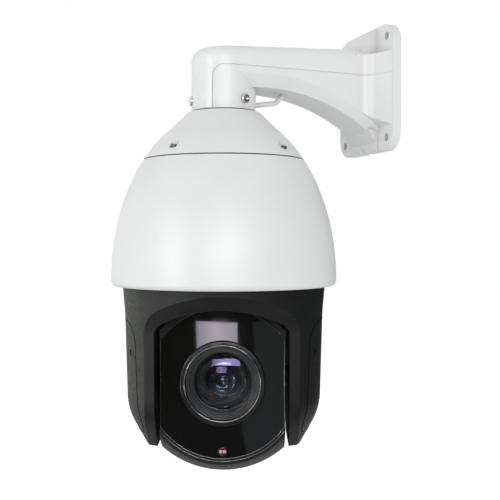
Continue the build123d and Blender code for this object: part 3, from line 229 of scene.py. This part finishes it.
def powder_coat():
    """Satin white powder coat on a casting: orange peel, faint mottling, and painted shade that darkens
    the corners.
    """
    look = Look("white_powder_coat", (0.78, 0.785, 0.775), 0.4)
    patches = look.spread(look.noise(14, 4), 0, 1)
    tone = look.mixed(patches, (0.765, 0.772, 0.765), (0.795, 0.797, 0.787))
    # painted shade: ambient occlusion darkens the coat towards grey in corners and recesses
    dust_and_shade = look.painted_corner_shade(0.012, 0.0)
    look.color(look.mixed(dust_and_shade, (0.60, 0.60, 0.575), tone))
    look.wear(260, 3, 0.34, 0.46)
    look.set("Specular IOR Level", 0.42)
    look.bumps(
        (look.noise(950, 2), 0.10, 0.00022),
        (look.noise(180, 2), 0.05, 0.0006),
    )
    look.rounded_edges(0.0007)
    return look.material


def black_texture(name, color, roughness, grain, level=0.3):
    """Matte black moulded plastic with a fine spark-eroded grain."""
    look = Look(name, color, roughness)
    patches = look.spread(look.noise(22, 4), 0, 1)
    tone = look.mixed(patches, color, scaled(color, 1.22))
    dust_and_shade = look.spread(look.noise(5200, 2), 0, 1, 0.62, 0.8)
    look.color(look.mixed(dust_and_shade, tone, scaled(color, 2.2)))
    look.wear(420, 3, roughness - 0.07, roughness + 0.08)
    look.set("Specular IOR Level", level)
    look.bumps(
        (look.noise(grain, 3, 0.6), 0.32, 0.00016),
        (look.cells(grain * 0.55), 0.12, 0.00012),
    )
    look.rounded_edges(0.0006)
    return look.material


def smoked_glass():
    """Black-backed front glass: a hard, nearly flawless surface with faint wipe marks."""
    look = Look("smoked_front_glass", (0.0035, 0.0038, 0.0038), 0.03)
    look.set("IOR", 1.46)
    wipes = look.noise(70, 5, 0.65, look.scaled_place((1, 1, 0.25)))
    look.roughness(look.spread(wipes, 0.02, 0.055, 0.4, 0.75))
    look.mottle(9, 2, (0.003, 0.0036, 0.0034), (0.005, 0.0052, 0.0054))
    look.set("Coat Weight", 0.25)
    look.set("Coat Roughness", 0.015)
    look.bumps((look.noise(35, 1), 0.02, 0.0004))
    return look.material


def coated_lens(name, tint, coating, level, bend=1.52):
    """Optical glass with an interference coating that colours what it mirrors."""
    look = Look(name, tint, 0.0)
    look.set("Transmission Weight", 1.0)
    look.set("IOR", bend)
    look.set("Specular IOR Level", level)
    look.set("Specular Tint", (*coating, 1))
    look.mottle(60, 3, tint, scaled(tint, 0.94))
    look.wear(30, 2, 0.0, 0.01)
    return look.material


def gloss_plastic(name, color, roughness=0.16):
    """Smooth moulded plastic with a very faint waviness."""
    look = Look(name, color, roughness)
    look.mottle(60, 3, color, scaled(color, 1.3))
    look.wear(300, 3, roughness - 0.05, roughness + 0.07)
    look.bumps((look.noise(500, 2), 0.05, 0.0002))
    look.rounded_edges(0.0004)
    return look.material


def polished_edge(name, level):
    """Black chrome on thin edges, with fine turning marks; the level says how much it mirrors."""
    look = Look(name, (level, level, level * 1.05), 0.14, 1.0)
    lighter = (level * 1.25, level * 1.25, level * 1.3)
    look.mottle(300, 3, (level, level, level * 1.05), lighter)
    look.wear(800, 2, 0.10, 0.2)
    look.bumps((look.noise(1400, 2), 0.04, 0.0001))
    return look.material


def anodised(name, color, roughness):
    """Turned and anodised metal: fine circular tool marks read as streaks along the part."""
    look = Look(name, color, roughness, 0.55)
    rings = look.noise(1, 2, 0.5, look.scaled_place((2600, 2600, 30)))
    look.mottle(40, 3, color, scaled(color, 1.35))
    look.roughness(look.spread(rings, roughness - 0.08, roughness + 0.1))
    look.bumps((rings, 0.06, 0.00012), (look.noise(900, 2), 0.06, 0.0001))
    look.rounded_edges(0.0003)
    return look.material


def bright_steel():
    """Bright screw steel, brushed."""
    look = Look("bright_steel", (0.62, 0.61, 0.59), 0.24, 1.0)
    brushed = look.noise(1, 3, 0.6, look.scaled_place((700, 700, 5200)))
    look.mottle(240, 3, (0.56, 0.555, 0.54), (0.70, 0.69, 0.67))
    look.roughness(look.spread(brushed, 0.16, 0.34))
    look.bumps((brushed, 0.10, 0.00008))
    look.rounded_edges(0.0002)
    return look.material


def machined_aluminium():
    """Aluminium with the marks of a milling tool."""
    look = Look("machined_aluminium", (0.66, 0.67, 0.68), 0.34, 1.0)
    tool = look.noise(1, 2, 0.5, look.scaled_place((140, 140, 3600)))
    look.mottle(50, 4, (0.60, 0.61, 0.62), (0.72, 0.73, 0.74))
    look.roughness(look.spread(tool, 0.26, 0.44))
    look.bumps((tool, 0.12, 0.0001))
    look.rounded_edges(0.0003)
    return look.material


def rubber():
    """Dull black rubber with a fine grain."""
    look = Look("black_rubber", (0.022, 0.022, 0.021), 0.72)
    look.mottle(90, 4, (0.018, 0.018, 0.017), (0.034, 0.033, 0.031))
    look.wear(700, 2, 0.62, 0.82)
    look.set("Specular IOR Level", 0.3)
    look.bumps((look.noise(1600, 3), 0.25, 0.0001))
    look.rounded_edges(0.0003)
    return look.material


def motor_black():
    """Black enamel of the motors."""
    look = Look("motor_enamel", (0.03, 0.03, 0.032), 0.42, 0.2)
    look.mottle(60, 4, (0.024, 0.024, 0.026), (0.05, 0.05, 0.052))
    look.wear(500, 3, 0.34, 0.54)
    look.bumps((look.noise(1200, 2), 0.12, 0.0001))
    look.rounded_edges(0.0004)
    return look.material


def circuit():
    """Green solder mask with copper runs under it and a grid of vias."""
    look = Look("solder_mask", (0.012, 0.09, 0.04), 0.3)
    runs = look.add("TexBrick", offset=0.37, squash=0.6)
    runs.inputs["Scale"].default_value = 420
    runs.inputs["Mortar Size"].default_value = 0.012
    runs.inputs["Brick Width"].default_value = 1.9
    runs.inputs["Row Height"].default_value = 0.55
    look.link(look.place, runs.inputs["Vector"])
    vias = look.spread(look.cells(190), 1, 0, 0.10, 0.13)
    board = look.mixed(runs.outputs["Fac"], (0.010, 0.075, 0.034), (0.03, 0.16, 0.065))
    look.color(look.mixed(vias, board, (0.55, 0.42, 0.2)))
    look.wear(400, 2, 0.22, 0.38)
    look.bumps((runs.outputs["Fac"], 0.2, 0.0001))
    return look.material


def nylon():
    """Undyed nylon that lets a little light in."""
    look = Look("natural_nylon", (0.72, 0.70, 0.64), 0.5)
    look.mottle(120, 3, (0.68, 0.66, 0.60), (0.76, 0.745, 0.69))
    look.wear(600, 2, 0.42, 0.6)
    look.set("Subsurface Weight", 0.15)
    look.set("Subsurface Scale", 0.002)
    look.bumps((look.noise(900, 2), 0.1, 0.0001))
    return look.material


def led_epoxy():
    """Pale pink clear resin of the LEDs and of the sensor's eyes."""
    look = Look("led_epoxy", (0.66, 0.36, 0.36), 0.08)
    look.set("Transmission Weight", 0.15)
    look.set("IOR", 1.54)
    look.mottle(900, 2, (0.60, 0.32, 0.32), (0.72, 0.45, 0.45))
    look.bumps((look.noise(500, 1), 0.03, 0.0001))
    return look.material


def sensor_window():
    """Dark red window of the light sensor under a gloss coat."""
    look = Look("red_sensor_window", (0.16, 0.018, 0.02), 0.06)
    look.mottle(600, 2, (0.11, 0.012, 0.014), (0.24, 0.03, 0.03))
    look.set("Transmission Weight", 0.4)
    look.set("Coat Weight", 0.8)
    look.set("Coat Roughness", 0.02)
    look.bumps((look.noise(400, 1), 0.05, 0.0002))
    return look.material


LOOKS = {
    "white_coat": powder_coat(),
    "black_coat": black_texture("black_grained_plastic", (0.0075, 0.0084, 0.0076), 0.5, 2600),
    "black_shell": black_texture("black_head_plastic", (0.0080, 0.0085, 0.0080), 0.46, 3000),
    "smoked_glass": smoked_glass(),
    "clear_glass": coated_lens("coated_lens", (0.90, 0.95, 0.91), (0.62, 0.50, 1.0), 0.04),
    "gloss_black": gloss_plastic("gloss_black_plastic", (0.010, 0.0105, 0.011)),
    "barrel_black": anodised("black_anodised", (0.040, 0.044, 0.042), 0.36),
    "rubber": rubber(),
    "steel": bright_steel(),
    "aluminium": machined_aluminium(),
    "circuit": circuit(),
    "motor": motor_black(),
    "nylon": nylon(),
    "led": led_epoxy(),
    "sensor_red": sensor_window(),
}
POLISHED_LIP = polished_edge("polished_lip", 0.26)
POLISHED_EDGE = polished_edge("polished_edge", 0.10)
POLISHED_RIM = polished_edge("polished_rim", 0.20)
# Steel darkened to a tenth for the top cap screws: painted shade standing in for the shadow in their
# pockets.
POCKET_SHADE_STEEL = anodised("steel_darkened_for_pocket_shade", (0.10, 0.10, 0.10), 0.45)
# Near-black, barely shiny plastic for the lines round the arm covers: painted shade standing in for the
# shadow in the gaps.
SEAM_SHADOW = black_texture("painted_seam_shadow", (0.001, 0.001, 0.001), 0.8, 2600, 0.08)
BLACK_STEEL = anodised("black_oxide_steel", (0.018, 0.018, 0.019), 0.42)
NODE_LOOKS = {
    "zoom_lens": coated_lens("blue_lens", (0.80, 0.80, 0.84), (0.46, 0.64, 1.0), 1.0, 2.0),
    "focus_lens": coated_lens("amber_lens", (0.86, 0.70, 0.64), (1.0, 0.40, 0.30), 1.0, 1.9),
    # top cap screws: steel darkened as painted shade for their pockets
    "top_cap_screws": POCKET_SHADE_STEEL,
    "arm_cover_screws": BLACK_STEEL,
    "guide_rods": BLACK_STEEL,
    "tilt_shafts": BLACK_STEEL,
    "tilt_bearing_inner_races": BLACK_STEEL,
    "head_screws": BLACK_STEEL,
}


def node_slots():
    """Material slot of each CAD node, as the record says."""
    slots = {}
    for part in frame["record"]["subparts"]:
        slots[part["node"]] = part["material_slot"]
    return slots


# ---------------------------------------------------------------- sizes of the added pieces

MM = 0.001
lathe_steps = 160
bead_points = 16
arc_steps = 60

glass_edge_inset = 0.35 * MM
glass_edge_thickness = 0.9 * MM
glass_edge_sink = 0.1 * MM
rim_line_gap = 2.3 * MM
rim_line_thickness = 0.9 * MM
rim_line_sink = 0.55 * MM

lip_radius = bezel_half - 7.6 * MM
lip_sink = 0.35 * MM
lip_bead = 0.75 * MM
foot_line_radius = bezel_half - 3.9 * MM
foot_line_rise = 0.1 * MM
foot_line_bead = 0.4 * MM

funnel_gap = 1.0 * MM
funnel_throat = 28.4 * MM
funnel_sink = 2.4 * MM
funnel_foot = 0.2 * MM
funnel_treads = 5
funnel_bevel = 0.25 * MM
funnel_line_bead = 0.28 * MM
funnel_lines = ((33.2 * MM, 2.8 * MM), (30.6 * MM, 4.6 * MM))  # radius, depth behind the bezel's mouth
tread_share = 0.9  # part of a funnel's depth that its treads take up

hood_radius = 21.4 * MM
hood_throat = 16.3 * MM
hood_front = 3.2 * MM
hood_foot = 0.1 * MM
hood_treads = 4
hood_bevel = 0.15 * MM

sensor_rim_inset = 0.1 * MM
sensor_rim_bead = 0.32 * MM
eye_radius = 1.65 * MM
eye_aside = 1.7 * MM
eye_sink = 0.1 * MM
eye_proud = 0.55 * MM
eye_tip = 0.01 * MM
eye_steps = 8

seam_thickness = 0.6 * MM
seam_weld = 0.001 * MM
seam_fold = math.radians(35)
seam_outward = 0.55

# ---------------------------------------------------------------- making a piece


def lens_place(side, height, reach):
    """Place given sideways and upwards from the lens axis, and along it from the pan axis."""
    return pan_axis + up * (tilt_height + height) + aside * side + ahead * reach


def place_piece(piece, body, look):
    scene.collection.objects.link(piece)
    piece.data.materials.append(look)
    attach(piece, body)


def lathe_rings(made, profile, side, height):
    """Copies of a (radius, reach) profile all round an axis along the lens."""
    rings = []
    for step in range(lathe_steps):
        angle = 2 * math.pi * step / lathe_steps
        ring = []
        for radius, reach in profile:
            across = side + radius * math.cos(angle)
            ring.append(made.verts.new(lens_place(across, height + radius * math.sin(angle), reach)))
        rings.append(ring)
    return rings


def round_edges(piece, width):
    rounding = piece.modifiers.new("rounding", "BEVEL")
    rounding.width = width
    rounding.segments = 3
    rounding.limit_method = "ANGLE"
    rounding.harden_normals = True


def turned(name, profile, body, look, side=0.0, height=0.0, bevel=0.0):
    """Piece turned about an axis along the lens: a closed profile of (radius, reach) in metres."""
    made = bmesh.new()
    rings = lathe_rings(made, profile, side, height)
    for step in range(lathe_steps):
        this, following = rings[step], rings[(step + 1) % lathe_steps]
        for index in range(len(profile)):
            after = (index + 1) % len(profile)
            made.faces.new((this[index], this[after], following[after], following[index]))
    bmesh.ops.recalc_face_normals(made, faces=made.faces)
    for face in made.faces:
        face.smooth = True
    mesh = bpy.data.meshes.new(name)
    made.to_mesh(mesh)
    made.free()
    piece = bpy.data.objects.new(name, mesh)
    if bevel:
        round_edges(piece, bevel)
    place_piece(piece, body, look)


def bead_profile(radius, reach, half_width):
    """Closed round section for a bead at a radius and a reach."""
    section = []
    for step in range(bead_points):
        angle = 2 * math.pi * step / bead_points
        section.append((radius + half_width * math.cos(angle), reach + half_width * math.sin(angle)))
    return section


def stepped_profile(outer, inner, front, back, treads):
    """Section of a funnel that steps down from its outer rim at the front to its throat."""
    section = [(outer, back), (outer, front)]
    tread = (outer - inner) / treads
    drop = (front - back) * tread_share / treads
    for step in range(1, treads + 1):
        radius = outer - tread * step
        reach = front - drop * (step - 1)
        section.append((radius, reach))
        section.append((radius, reach - drop))
    section.append((inner, back))
    return section


def edge_line(name, places, thickness, closed, body, look):
    """Thin round line through a row of places."""
    curve = bpy.data.curves.new(name, "CURVE")
    curve.dimensions = "3D"
    curve.bevel_depth = thickness / 2
    curve.bevel_resolution = 4
    curve.use_fill_caps = True
    spline = curve.splines.new("POLY")
    spline.points.add(len(places) - 1)
    for point, place in zip(spline.points, places):
        point.co = (*place, 1)
    spline.use_cyclic_u = closed
    place_piece(bpy.data.objects.new(name, curve), body, look)


def front_line(name, outline, thickness, reach, closed, look):
    """Line along an outline of (side, height) points on the head's front."""
    places = [lens_place(side, height, reach) for side, height in outline]
    edge_line(name, places, thickness, closed, "head", look)


def cut_circle_arc(radius, half_width, sign):
    """Lower (sign -1) or upper (1) arc of a circle between two upright sides, from left to right."""
    reach = math.asin(half_width / radius)
    arc = []
    for step in range(arc_steps + 1):
        angle = -reach + 2 * reach * step / arc_steps
        arc.append((radius * math.sin(angle), sign * radius * math.cos(angle)))
    return arc


# ---------------------------------------------------------------- pieces on the head

def add_front_lines():
    """Bright rounded edge of the glass and the shell's rim line below it."""
    edge_radius = glass_radius - glass_edge_inset
    edge_half_width = glass_half_width - glass_edge_inset
    lower = cut_circle_arc(edge_radius, edge_half_width, -1)
    upper = cut_circle_arc(edge_radius, edge_half_width, 1)
    edge = lower + upper[::-1]
    front_line("glass_edge", edge, glass_edge_thickness, glass_ahead - glass_edge_sink, True, POLISHED_RIM)
    rim = cut_circle_arc(glass_radius + rim_line_gap, glass_half_width, -1)
    front_line("shell_rim_line", rim, rim_line_thickness, glass_ahead - rim_line_sink, False, POLISHED_RIM)


def add_bezel_rings():
    """Polished lip round the bezel's mouth, a line at its foot and the stepped funnel with two lines."""
    lip = bead_profile(lip_radius, bezel_ahead - lip_sink, lip_bead)
    turned("bezel_lip", lip, "head", POLISHED_LIP)
    foot = bead_profile(foot_line_radius, glass_ahead + foot_line_rise, foot_line_bead)
    turned("bezel_foot_line", foot, "head", POLISHED_EDGE)
    funnel = stepped_profile(
        lip_radius - funnel_gap,
        funnel_throat,
        bezel_ahead - funnel_sink,
        barrel_ahead + funnel_foot,
        funnel_treads,
    )
    turned("bezel_funnel", funnel, "head", LOOKS["barrel_black"], bevel=funnel_bevel)
    for index, (radius, depth) in enumerate(funnel_lines):
        bead = bead_profile(radius, bezel_ahead - depth, funnel_line_bead)
        turned(f"funnel_line_{index + 1}", bead, "head", POLISHED_EDGE)


def add_zoom_hood():
    """Stepped hood on the zoom group, between the guide rods and its lens."""
    front = carriage_ahead + hood_front
    hood = stepped_profile(hood_radius, hood_throat, front, carriage_ahead + hood_foot, hood_treads)
    turned("zoom_hood", hood, "zoom", LOOKS["barrel_black"], bevel=hood_bevel)


def eye_profile():
    """Section of a clear dome that stands proud of the light sensor's window."""
    section = [(eye_tip, sensor_ahead - eye_sink), (eye_radius, sensor_ahead - eye_sink)]
    for step in range(1, eye_steps):
        angle = math.pi / 2 * step / eye_steps
        section.append((eye_radius * math.cos(angle), sensor_ahead + eye_proud * math.sin(angle)))
    section.append((eye_tip, sensor_ahead + eye_proud))
    return section


def add_sensor_details():
    """Rim of the light sensor and the two clear eyes in its window."""
    height = sensor_height - tilt_height
    rim_radius = (sensor_high.z - sensor_low.z) / 2 - sensor_rim_inset
    rim = bead_profile(rim_radius, sensor_ahead, sensor_rim_bead)
    turned("sensor_rim", rim, "head", LOOKS["gloss_black"], height=height)
    for index, side in enumerate((-eye_aside, eye_aside)):
        name = f"sensor_eye_{index + 1}"
        turned(name, eye_profile(), "head", LOOKS["led"], side=side, height=height)


# ---------------------------------------------------------------- seams round the arm covers, drawn as painted shade

def sharp_outer_edges(made):
    """Edges where a face that looks away from the pan axis meets a wall that turns inward."""
    found = []
    for edge in made.edges:
        if len(edge.link_faces) != 2 or edge.calc_face_angle() < seam_fold:
            continue
        outward = (edge.verts[0].co - pan_axis) * Vector((1, 1, 0))
        outward.normalize()
        if max(face.normal.dot(outward) for face in edge.link_faces) > seam_outward:
            found.append(edge)
    return found


def walk_edges(last, left):
    """Places reached from a vertex along the edges left, which it uses up."""
    walk = []
    while True:
        following = next((edge for edge in last.link_edges if edge in left), None)
        if following is None:
            return walk
        left.remove(following)
        last = following.other_vert(last)
        walk.append(last.co.copy())


def edge_chains(edges):
    """Places along each unbroken chain of a set of edges."""
    left = set(edges)
    chains = []
    while left:
        first, second = left.pop().verts
        behind = walk_edges(first, left)
        chains.append(behind[::-1] + [first.co.copy(), second.co.copy()] + walk_edges(second, left))
    return chains


def chain_height(chain):
    return max(place.z for place in chain) - min(place.z for place in chain)


def add_cover_seams():
    """Near-black line round each arm cover, where it meets the yoke: painted shade standing in for the
    shadow in the gap.
    """
    for name in ("left_arm_cover", "right_arm_cover"):
        made = bmesh.new()
        made.from_mesh(nodes[name].data)
        bmesh.ops.remove_doubles(made, verts=made.verts, dist=seam_weld)
        seam = max(edge_chains(sharp_outer_edges(made)), key=chain_height)
        made.free()
        closed = (seam[0] - seam[-1]).length < seam_weld
        if closed:
            seam.pop()
        edge_line(name.replace("cover", "seam"), seam, seam_thickness, closed, "pan", SEAM_SHADOW)


# ---------------------------------------------------------------- stage

floor_drop = 0.42
floor_size = 14.0
floor_color = (0.9, 0.9, 0.9, 1)
floor_roughness = 0.9
floor_glow = 0.62
studio_fill = 0.62
studio_color = (0.97, 0.985, 1.0, 1)

# The lamps aim at a point on the pan axis, this share of the way down from z = 0 to the lens. Each
# has its place ahead of that point, beside it and above it, then its width, height and power.
aim_share = 0.6
lamps = {
    "key": (1.0, -1.6, 0.4, 1.4, 1.4, 9.6),
    "front": (1.9, 0.5, 0.1, 1.2, 1.2, 8.4),
    "fill": (0.9, 1.7, 0.1, 1.2, 1.6, 4.4),
}


def floor_height():
    return min(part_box(name)[0].z for name in nodes) - floor_drop


def add_floor():
    """Pale floor that the camera sees as white except where the object shades it."""
    bpy.ops.mesh.primitive_plane_add(size=floor_size, location=(0, 0, floor_height()))
    floor = bpy.context.object
    floor.name = "floor"
    material = bpy.data.materials.new("pale_floor")
    material.use_nodes = True
    tree = material.node_tree
    shader = tree.nodes["Principled BSDF"]
    shader.inputs["Base Color"].default_value = floor_color
    shader.inputs["Roughness"].default_value = floor_roughness
    path = tree.nodes.new("ShaderNodeLightPath")
    seen = tree.nodes.new("ShaderNodeMath")
    seen.operation = "MULTIPLY"
    seen.inputs[1].default_value = floor_glow
    tree.links.new(path.outputs["Is Camera Ray"], seen.inputs[0])
    shader.inputs["Emission Color"].default_value = (1, 1, 1, 1)
    tree.links.new(seen.outputs[0], shader.inputs["Emission Strength"])
    floor.data.materials.append(material)


def seen_or_mirrored(tree):
    """Value that is 1 for camera, mirror and glass rays."""
    path = tree.nodes.new("ShaderNodeLightPath")
    last = path.outputs["Is Camera Ray"]
    for name in ("Is Glossy Ray", "Is Transmission Ray"):
        either = tree.nodes.new("ShaderNodeMath")
        either.operation = "MAXIMUM"
        tree.links.new(last, either.inputs[0])
        tree.links.new(path.outputs[name], either.inputs[1])
        last = either.outputs[0]
    return last


def add_world():
    """Soft grey room that camera, mirror and glass rays see as white."""
    world = bpy.data.worlds.new("studio")
    scene.world = world
    world.use_nodes = True
    tree = world.node_tree
    soft = tree.nodes["Background"]
    soft.inputs["Color"].default_value = studio_color
    soft.inputs["Strength"].default_value = studio_fill
    white = tree.nodes.new("ShaderNodeBackground")
    white.inputs["Color"].default_value = (1, 1, 1, 1)
    white.inputs["Strength"].default_value = 1.0
    mix = tree.nodes.new("ShaderNodeMixShader")
    tree.links.new(seen_or_mirrored(tree), mix.inputs["Fac"])
    tree.links.new(soft.outputs[0], mix.inputs[1])
    tree.links.new(white.outputs[0], mix.inputs[2])
    tree.links.new(mix.outputs[0], tree.nodes["World Output"].inputs["Surface"])


def add_lamps():
    target = pan_axis + up * tilt_height * aim_share
    for name, (forward, sideways, above, width, height, power) in lamps.items():
        data = bpy.data.lights.new(name, "AREA")
        data.shape = "RECTANGLE"
        data.size = width
        data.size_y = height
        data.energy = power
        lamp = bpy.data.objects.new(name, data)
        scene.collection.objects.link(lamp)
        lamp.location = target + ahead * forward + aside * sideways + up * above
        lamp.rotation_euler = (target - lamp.location).to_track_quat("-Z", "Y").to_euler()


# ---------------------------------------------------------------- cards that only mirrors see

glass_card_reach = 1.5  # how far in front of the glass the nearest card stands
dark_room_reach = glass_card_reach + 0.1
grey_wall_reach = glass_card_reach + 0.05

# Outlines of (side, height) places on the front glass where it mirrors a card.
dark_room_outline = ((-0.50, -0.80), (0.56, -0.80), (0.56, 0.25), (-0.50, 0.25))
grey_wall_outline = (
    (0.0245, -0.3650),
    (0.0700, -0.3650),
    (0.0700, -0.2275),
    (0.0274, -0.2275),
    (0.0302, -0.2530),
    (0.0179, -0.3248),
)
softbox_outline = ((-0.0237, -0.2520), (0.0137, -0.2520), (0.0141, -0.2281), (-0.0246, -0.2266))

dark_room_color = (0.062, 0.066, 0.05)
dark_flag_color = (0.05, 0.05, 0.055)
dark_ground_color = (0.16, 0.16, 0.16)
pale_wall_color = (1.5, 1.55, 1.45)
grey_wall_color = (0.31, 0.32, 0.33)
ceiling_colors = ((4, 4, 4.3), (12, 12, 12.6), (8, 8, 8.6))
window_color = (30, 30, 31)
low_window_color = (14, 14, 14.5)
softbox_glow = 10
softbox_colors = ((0.5, 0.48, 0.56), (0.93, 0.80, 0.95), (0.6, 0.56, 0.66))

# Cards beside the object: how far aside, then from where to where along the lens axis and upwards.
dark_flag_aside = 1.1
dark_flag_reaches = (-3, 1.7)
dark_flag_heights = (-1.5, 1.0)
pale_wall_aside = -1.3
pale_wall_reaches = (-1, 1.2)
pale_wall_heights = (-1.2, 0.6)
dark_ground_reaches = (0.1, 2.2)
dark_ground_half_width = 0.9
ground_card_lift = 0.02

# Cards that face the lens from one metre ahead of it: (side, height) from its axis, and size.
ceiling_direction = (0.06, 0.38)
ceiling_size = (0.86, 0.20)
window_direction = (-1.15, 0.42)
window_size = (0.14, 0.40)
low_window_direction = (-1.25, -0.36)
low_window_size = (0.5, 0.16)


def card_material(name, colors):
    """Glow whose colour blends across a card from its start to its end."""
    material = bpy.data.materials.new(name)
    material.use_nodes = True
    tree = material.node_tree
    tree.nodes.remove(tree.nodes["Principled BSDF"])
    glow = tree.nodes.new("ShaderNodeEmission")
    blend = tree.nodes.new("ShaderNodeValToRGB")
    stops = blend.color_ramp.elements
    while len(stops) < len(colors):
        stops.new(0.5)
    for index, (stop, color) in enumerate(zip(stops, colors)):
        stop.position = index / (len(colors) - 1)
        stop.color = (*color, 1)
    place = tree.nodes.new("ShaderNodeTexCoord")
    across = tree.nodes.new("ShaderNodeSeparateXYZ")
    tree.links.new(place.outputs["Generated"], across.inputs[0])
    tree.links.new(across.outputs["Y"], blend.inputs["Fac"])
    tree.links.new(blend.outputs["Color"], glow.inputs["Color"])
    tree.links.new(glow.outputs[0], tree.nodes["Material Output"].inputs["Surface"])
    return material


def add_card(name, corners, colors):
    """Glowing card that the camera and matte surfaces don't see, and that casts no shadow."""
    mesh = bpy.data.meshes.new(name)
    mesh.from_pydata(corners, [], [tuple(range(len(corners)))])
    card = bpy.data.objects.new(name, mesh)
    scene.collection.objects.link(card)
    card.visible_camera = False
    card.visible_diffuse = False
    card.visible_shadow = False
    mesh.materials.append(card_material(name, colors))


def plain(color):
    """The same colour all over a card."""
    return (color, color)


def glass_card(name, outline, reach, colors):
    """Card in front of the glass whose mirror image fills an outline of places on the glass."""
    grow = reach / (camera_distance - glass_ahead)
    corners = []
    for side, height in outline:
        card_side = side + (side - camera_aside) * grow
        card_height = height + (height - camera_height) * grow
        place = pan_axis + ahead * (glass_ahead + reach) + aside * card_side + up * card_height
        corners.append(place)
    add_card(name, corners, colors)


def direction_card(name, direction, size, colors):
    """Card one metre in front of the lens, at (side, height) from its axis, that faces the lens."""
    lens = pan_axis + ahead * bezel_ahead + up * tilt_height
    centre = lens + ahead + aside * direction[0] + up * direction[1]
    facing = (lens - centre).normalized()
    across = up.cross(facing).normalized() * size[0] / 2
    upward = facing.cross(across).normalized() * size[1] / 2
    left, right = centre - across, centre + across
    add_card(name, [left - upward, right - upward, right + upward, left + upward], colors)


def side_card(name, sideways, reaches, heights, colors):
    """Upright card beside the object, along the way the lens looks, from (back, low) to (front, high)."""
    foot = pan_axis + aside * sideways
    (back, front), (low, high) = reaches, heights
    outline = ((back, low), (front, low), (front, high), (back, high))
    add_card(name, [foot + ahead * reach + up * height for reach, height in outline], colors)


def ground_card(name, reaches, half_width, colors):
    """Card that lies just over the floor in front of the object."""
    ground = pan_axis + up * (floor_height() + ground_card_lift)
    back, front = reaches
    outline = ((back, -half_width), (back, half_width), (front, half_width), (front, -half_width))
    add_card(name, [ground + ahead * reach + aside * side for reach, side in outline], colors)


def add_cards():
    """What the glass, the bezel and the lenses mirror: a dark room, pale walls, windows and a softbox."""
    glass_card("dark_room", dark_room_outline, dark_room_reach, plain(dark_room_color))
    side_card("dark_flag", dark_flag_aside, dark_flag_reaches, dark_flag_heights, plain(dark_flag_color))
    side_card("bright_wall", pale_wall_aside, pale_wall_reaches, pale_wall_heights, plain(pale_wall_color))
    direction_card("ceiling", ceiling_direction, ceiling_size, ceiling_colors)
    direction_card("window", window_direction, window_size, plain(window_color))
    direction_card("low_window", low_window_direction, low_window_size, plain(low_window_color))
    ground_card("dark_ground", dark_ground_reaches, dark_ground_half_width, plain(dark_ground_color))
    glass_card("grey_wall", grey_wall_outline, grey_wall_reach, plain(grey_wall_color))
    lilac = [scaled(color, softbox_glow) for color in softbox_colors]
    glass_card("softbox", softbox_outline, glass_card_reach, lilac)


# ---------------------------------------------------------------- build

def dress_nodes():
    """Give every CAD node the material of its slot, or its own."""
    slots = node_slots()
    for name, node in nodes.items():
        look = NODE_LOOKS.get(name, LOOKS[slots[name]])
        if not node.material_slots:
            node.data.materials.append(look)
        for slot in node.material_slots:
            slot.material = look


add_camera()
dress_nodes()
add_front_lines()
add_bezel_rings()
add_zoom_hood()
add_sensor_details()
add_cover_seams()
add_floor()
add_world()
add_lamps()
add_cards()
scene.view_settings.view_transform = "Standard"
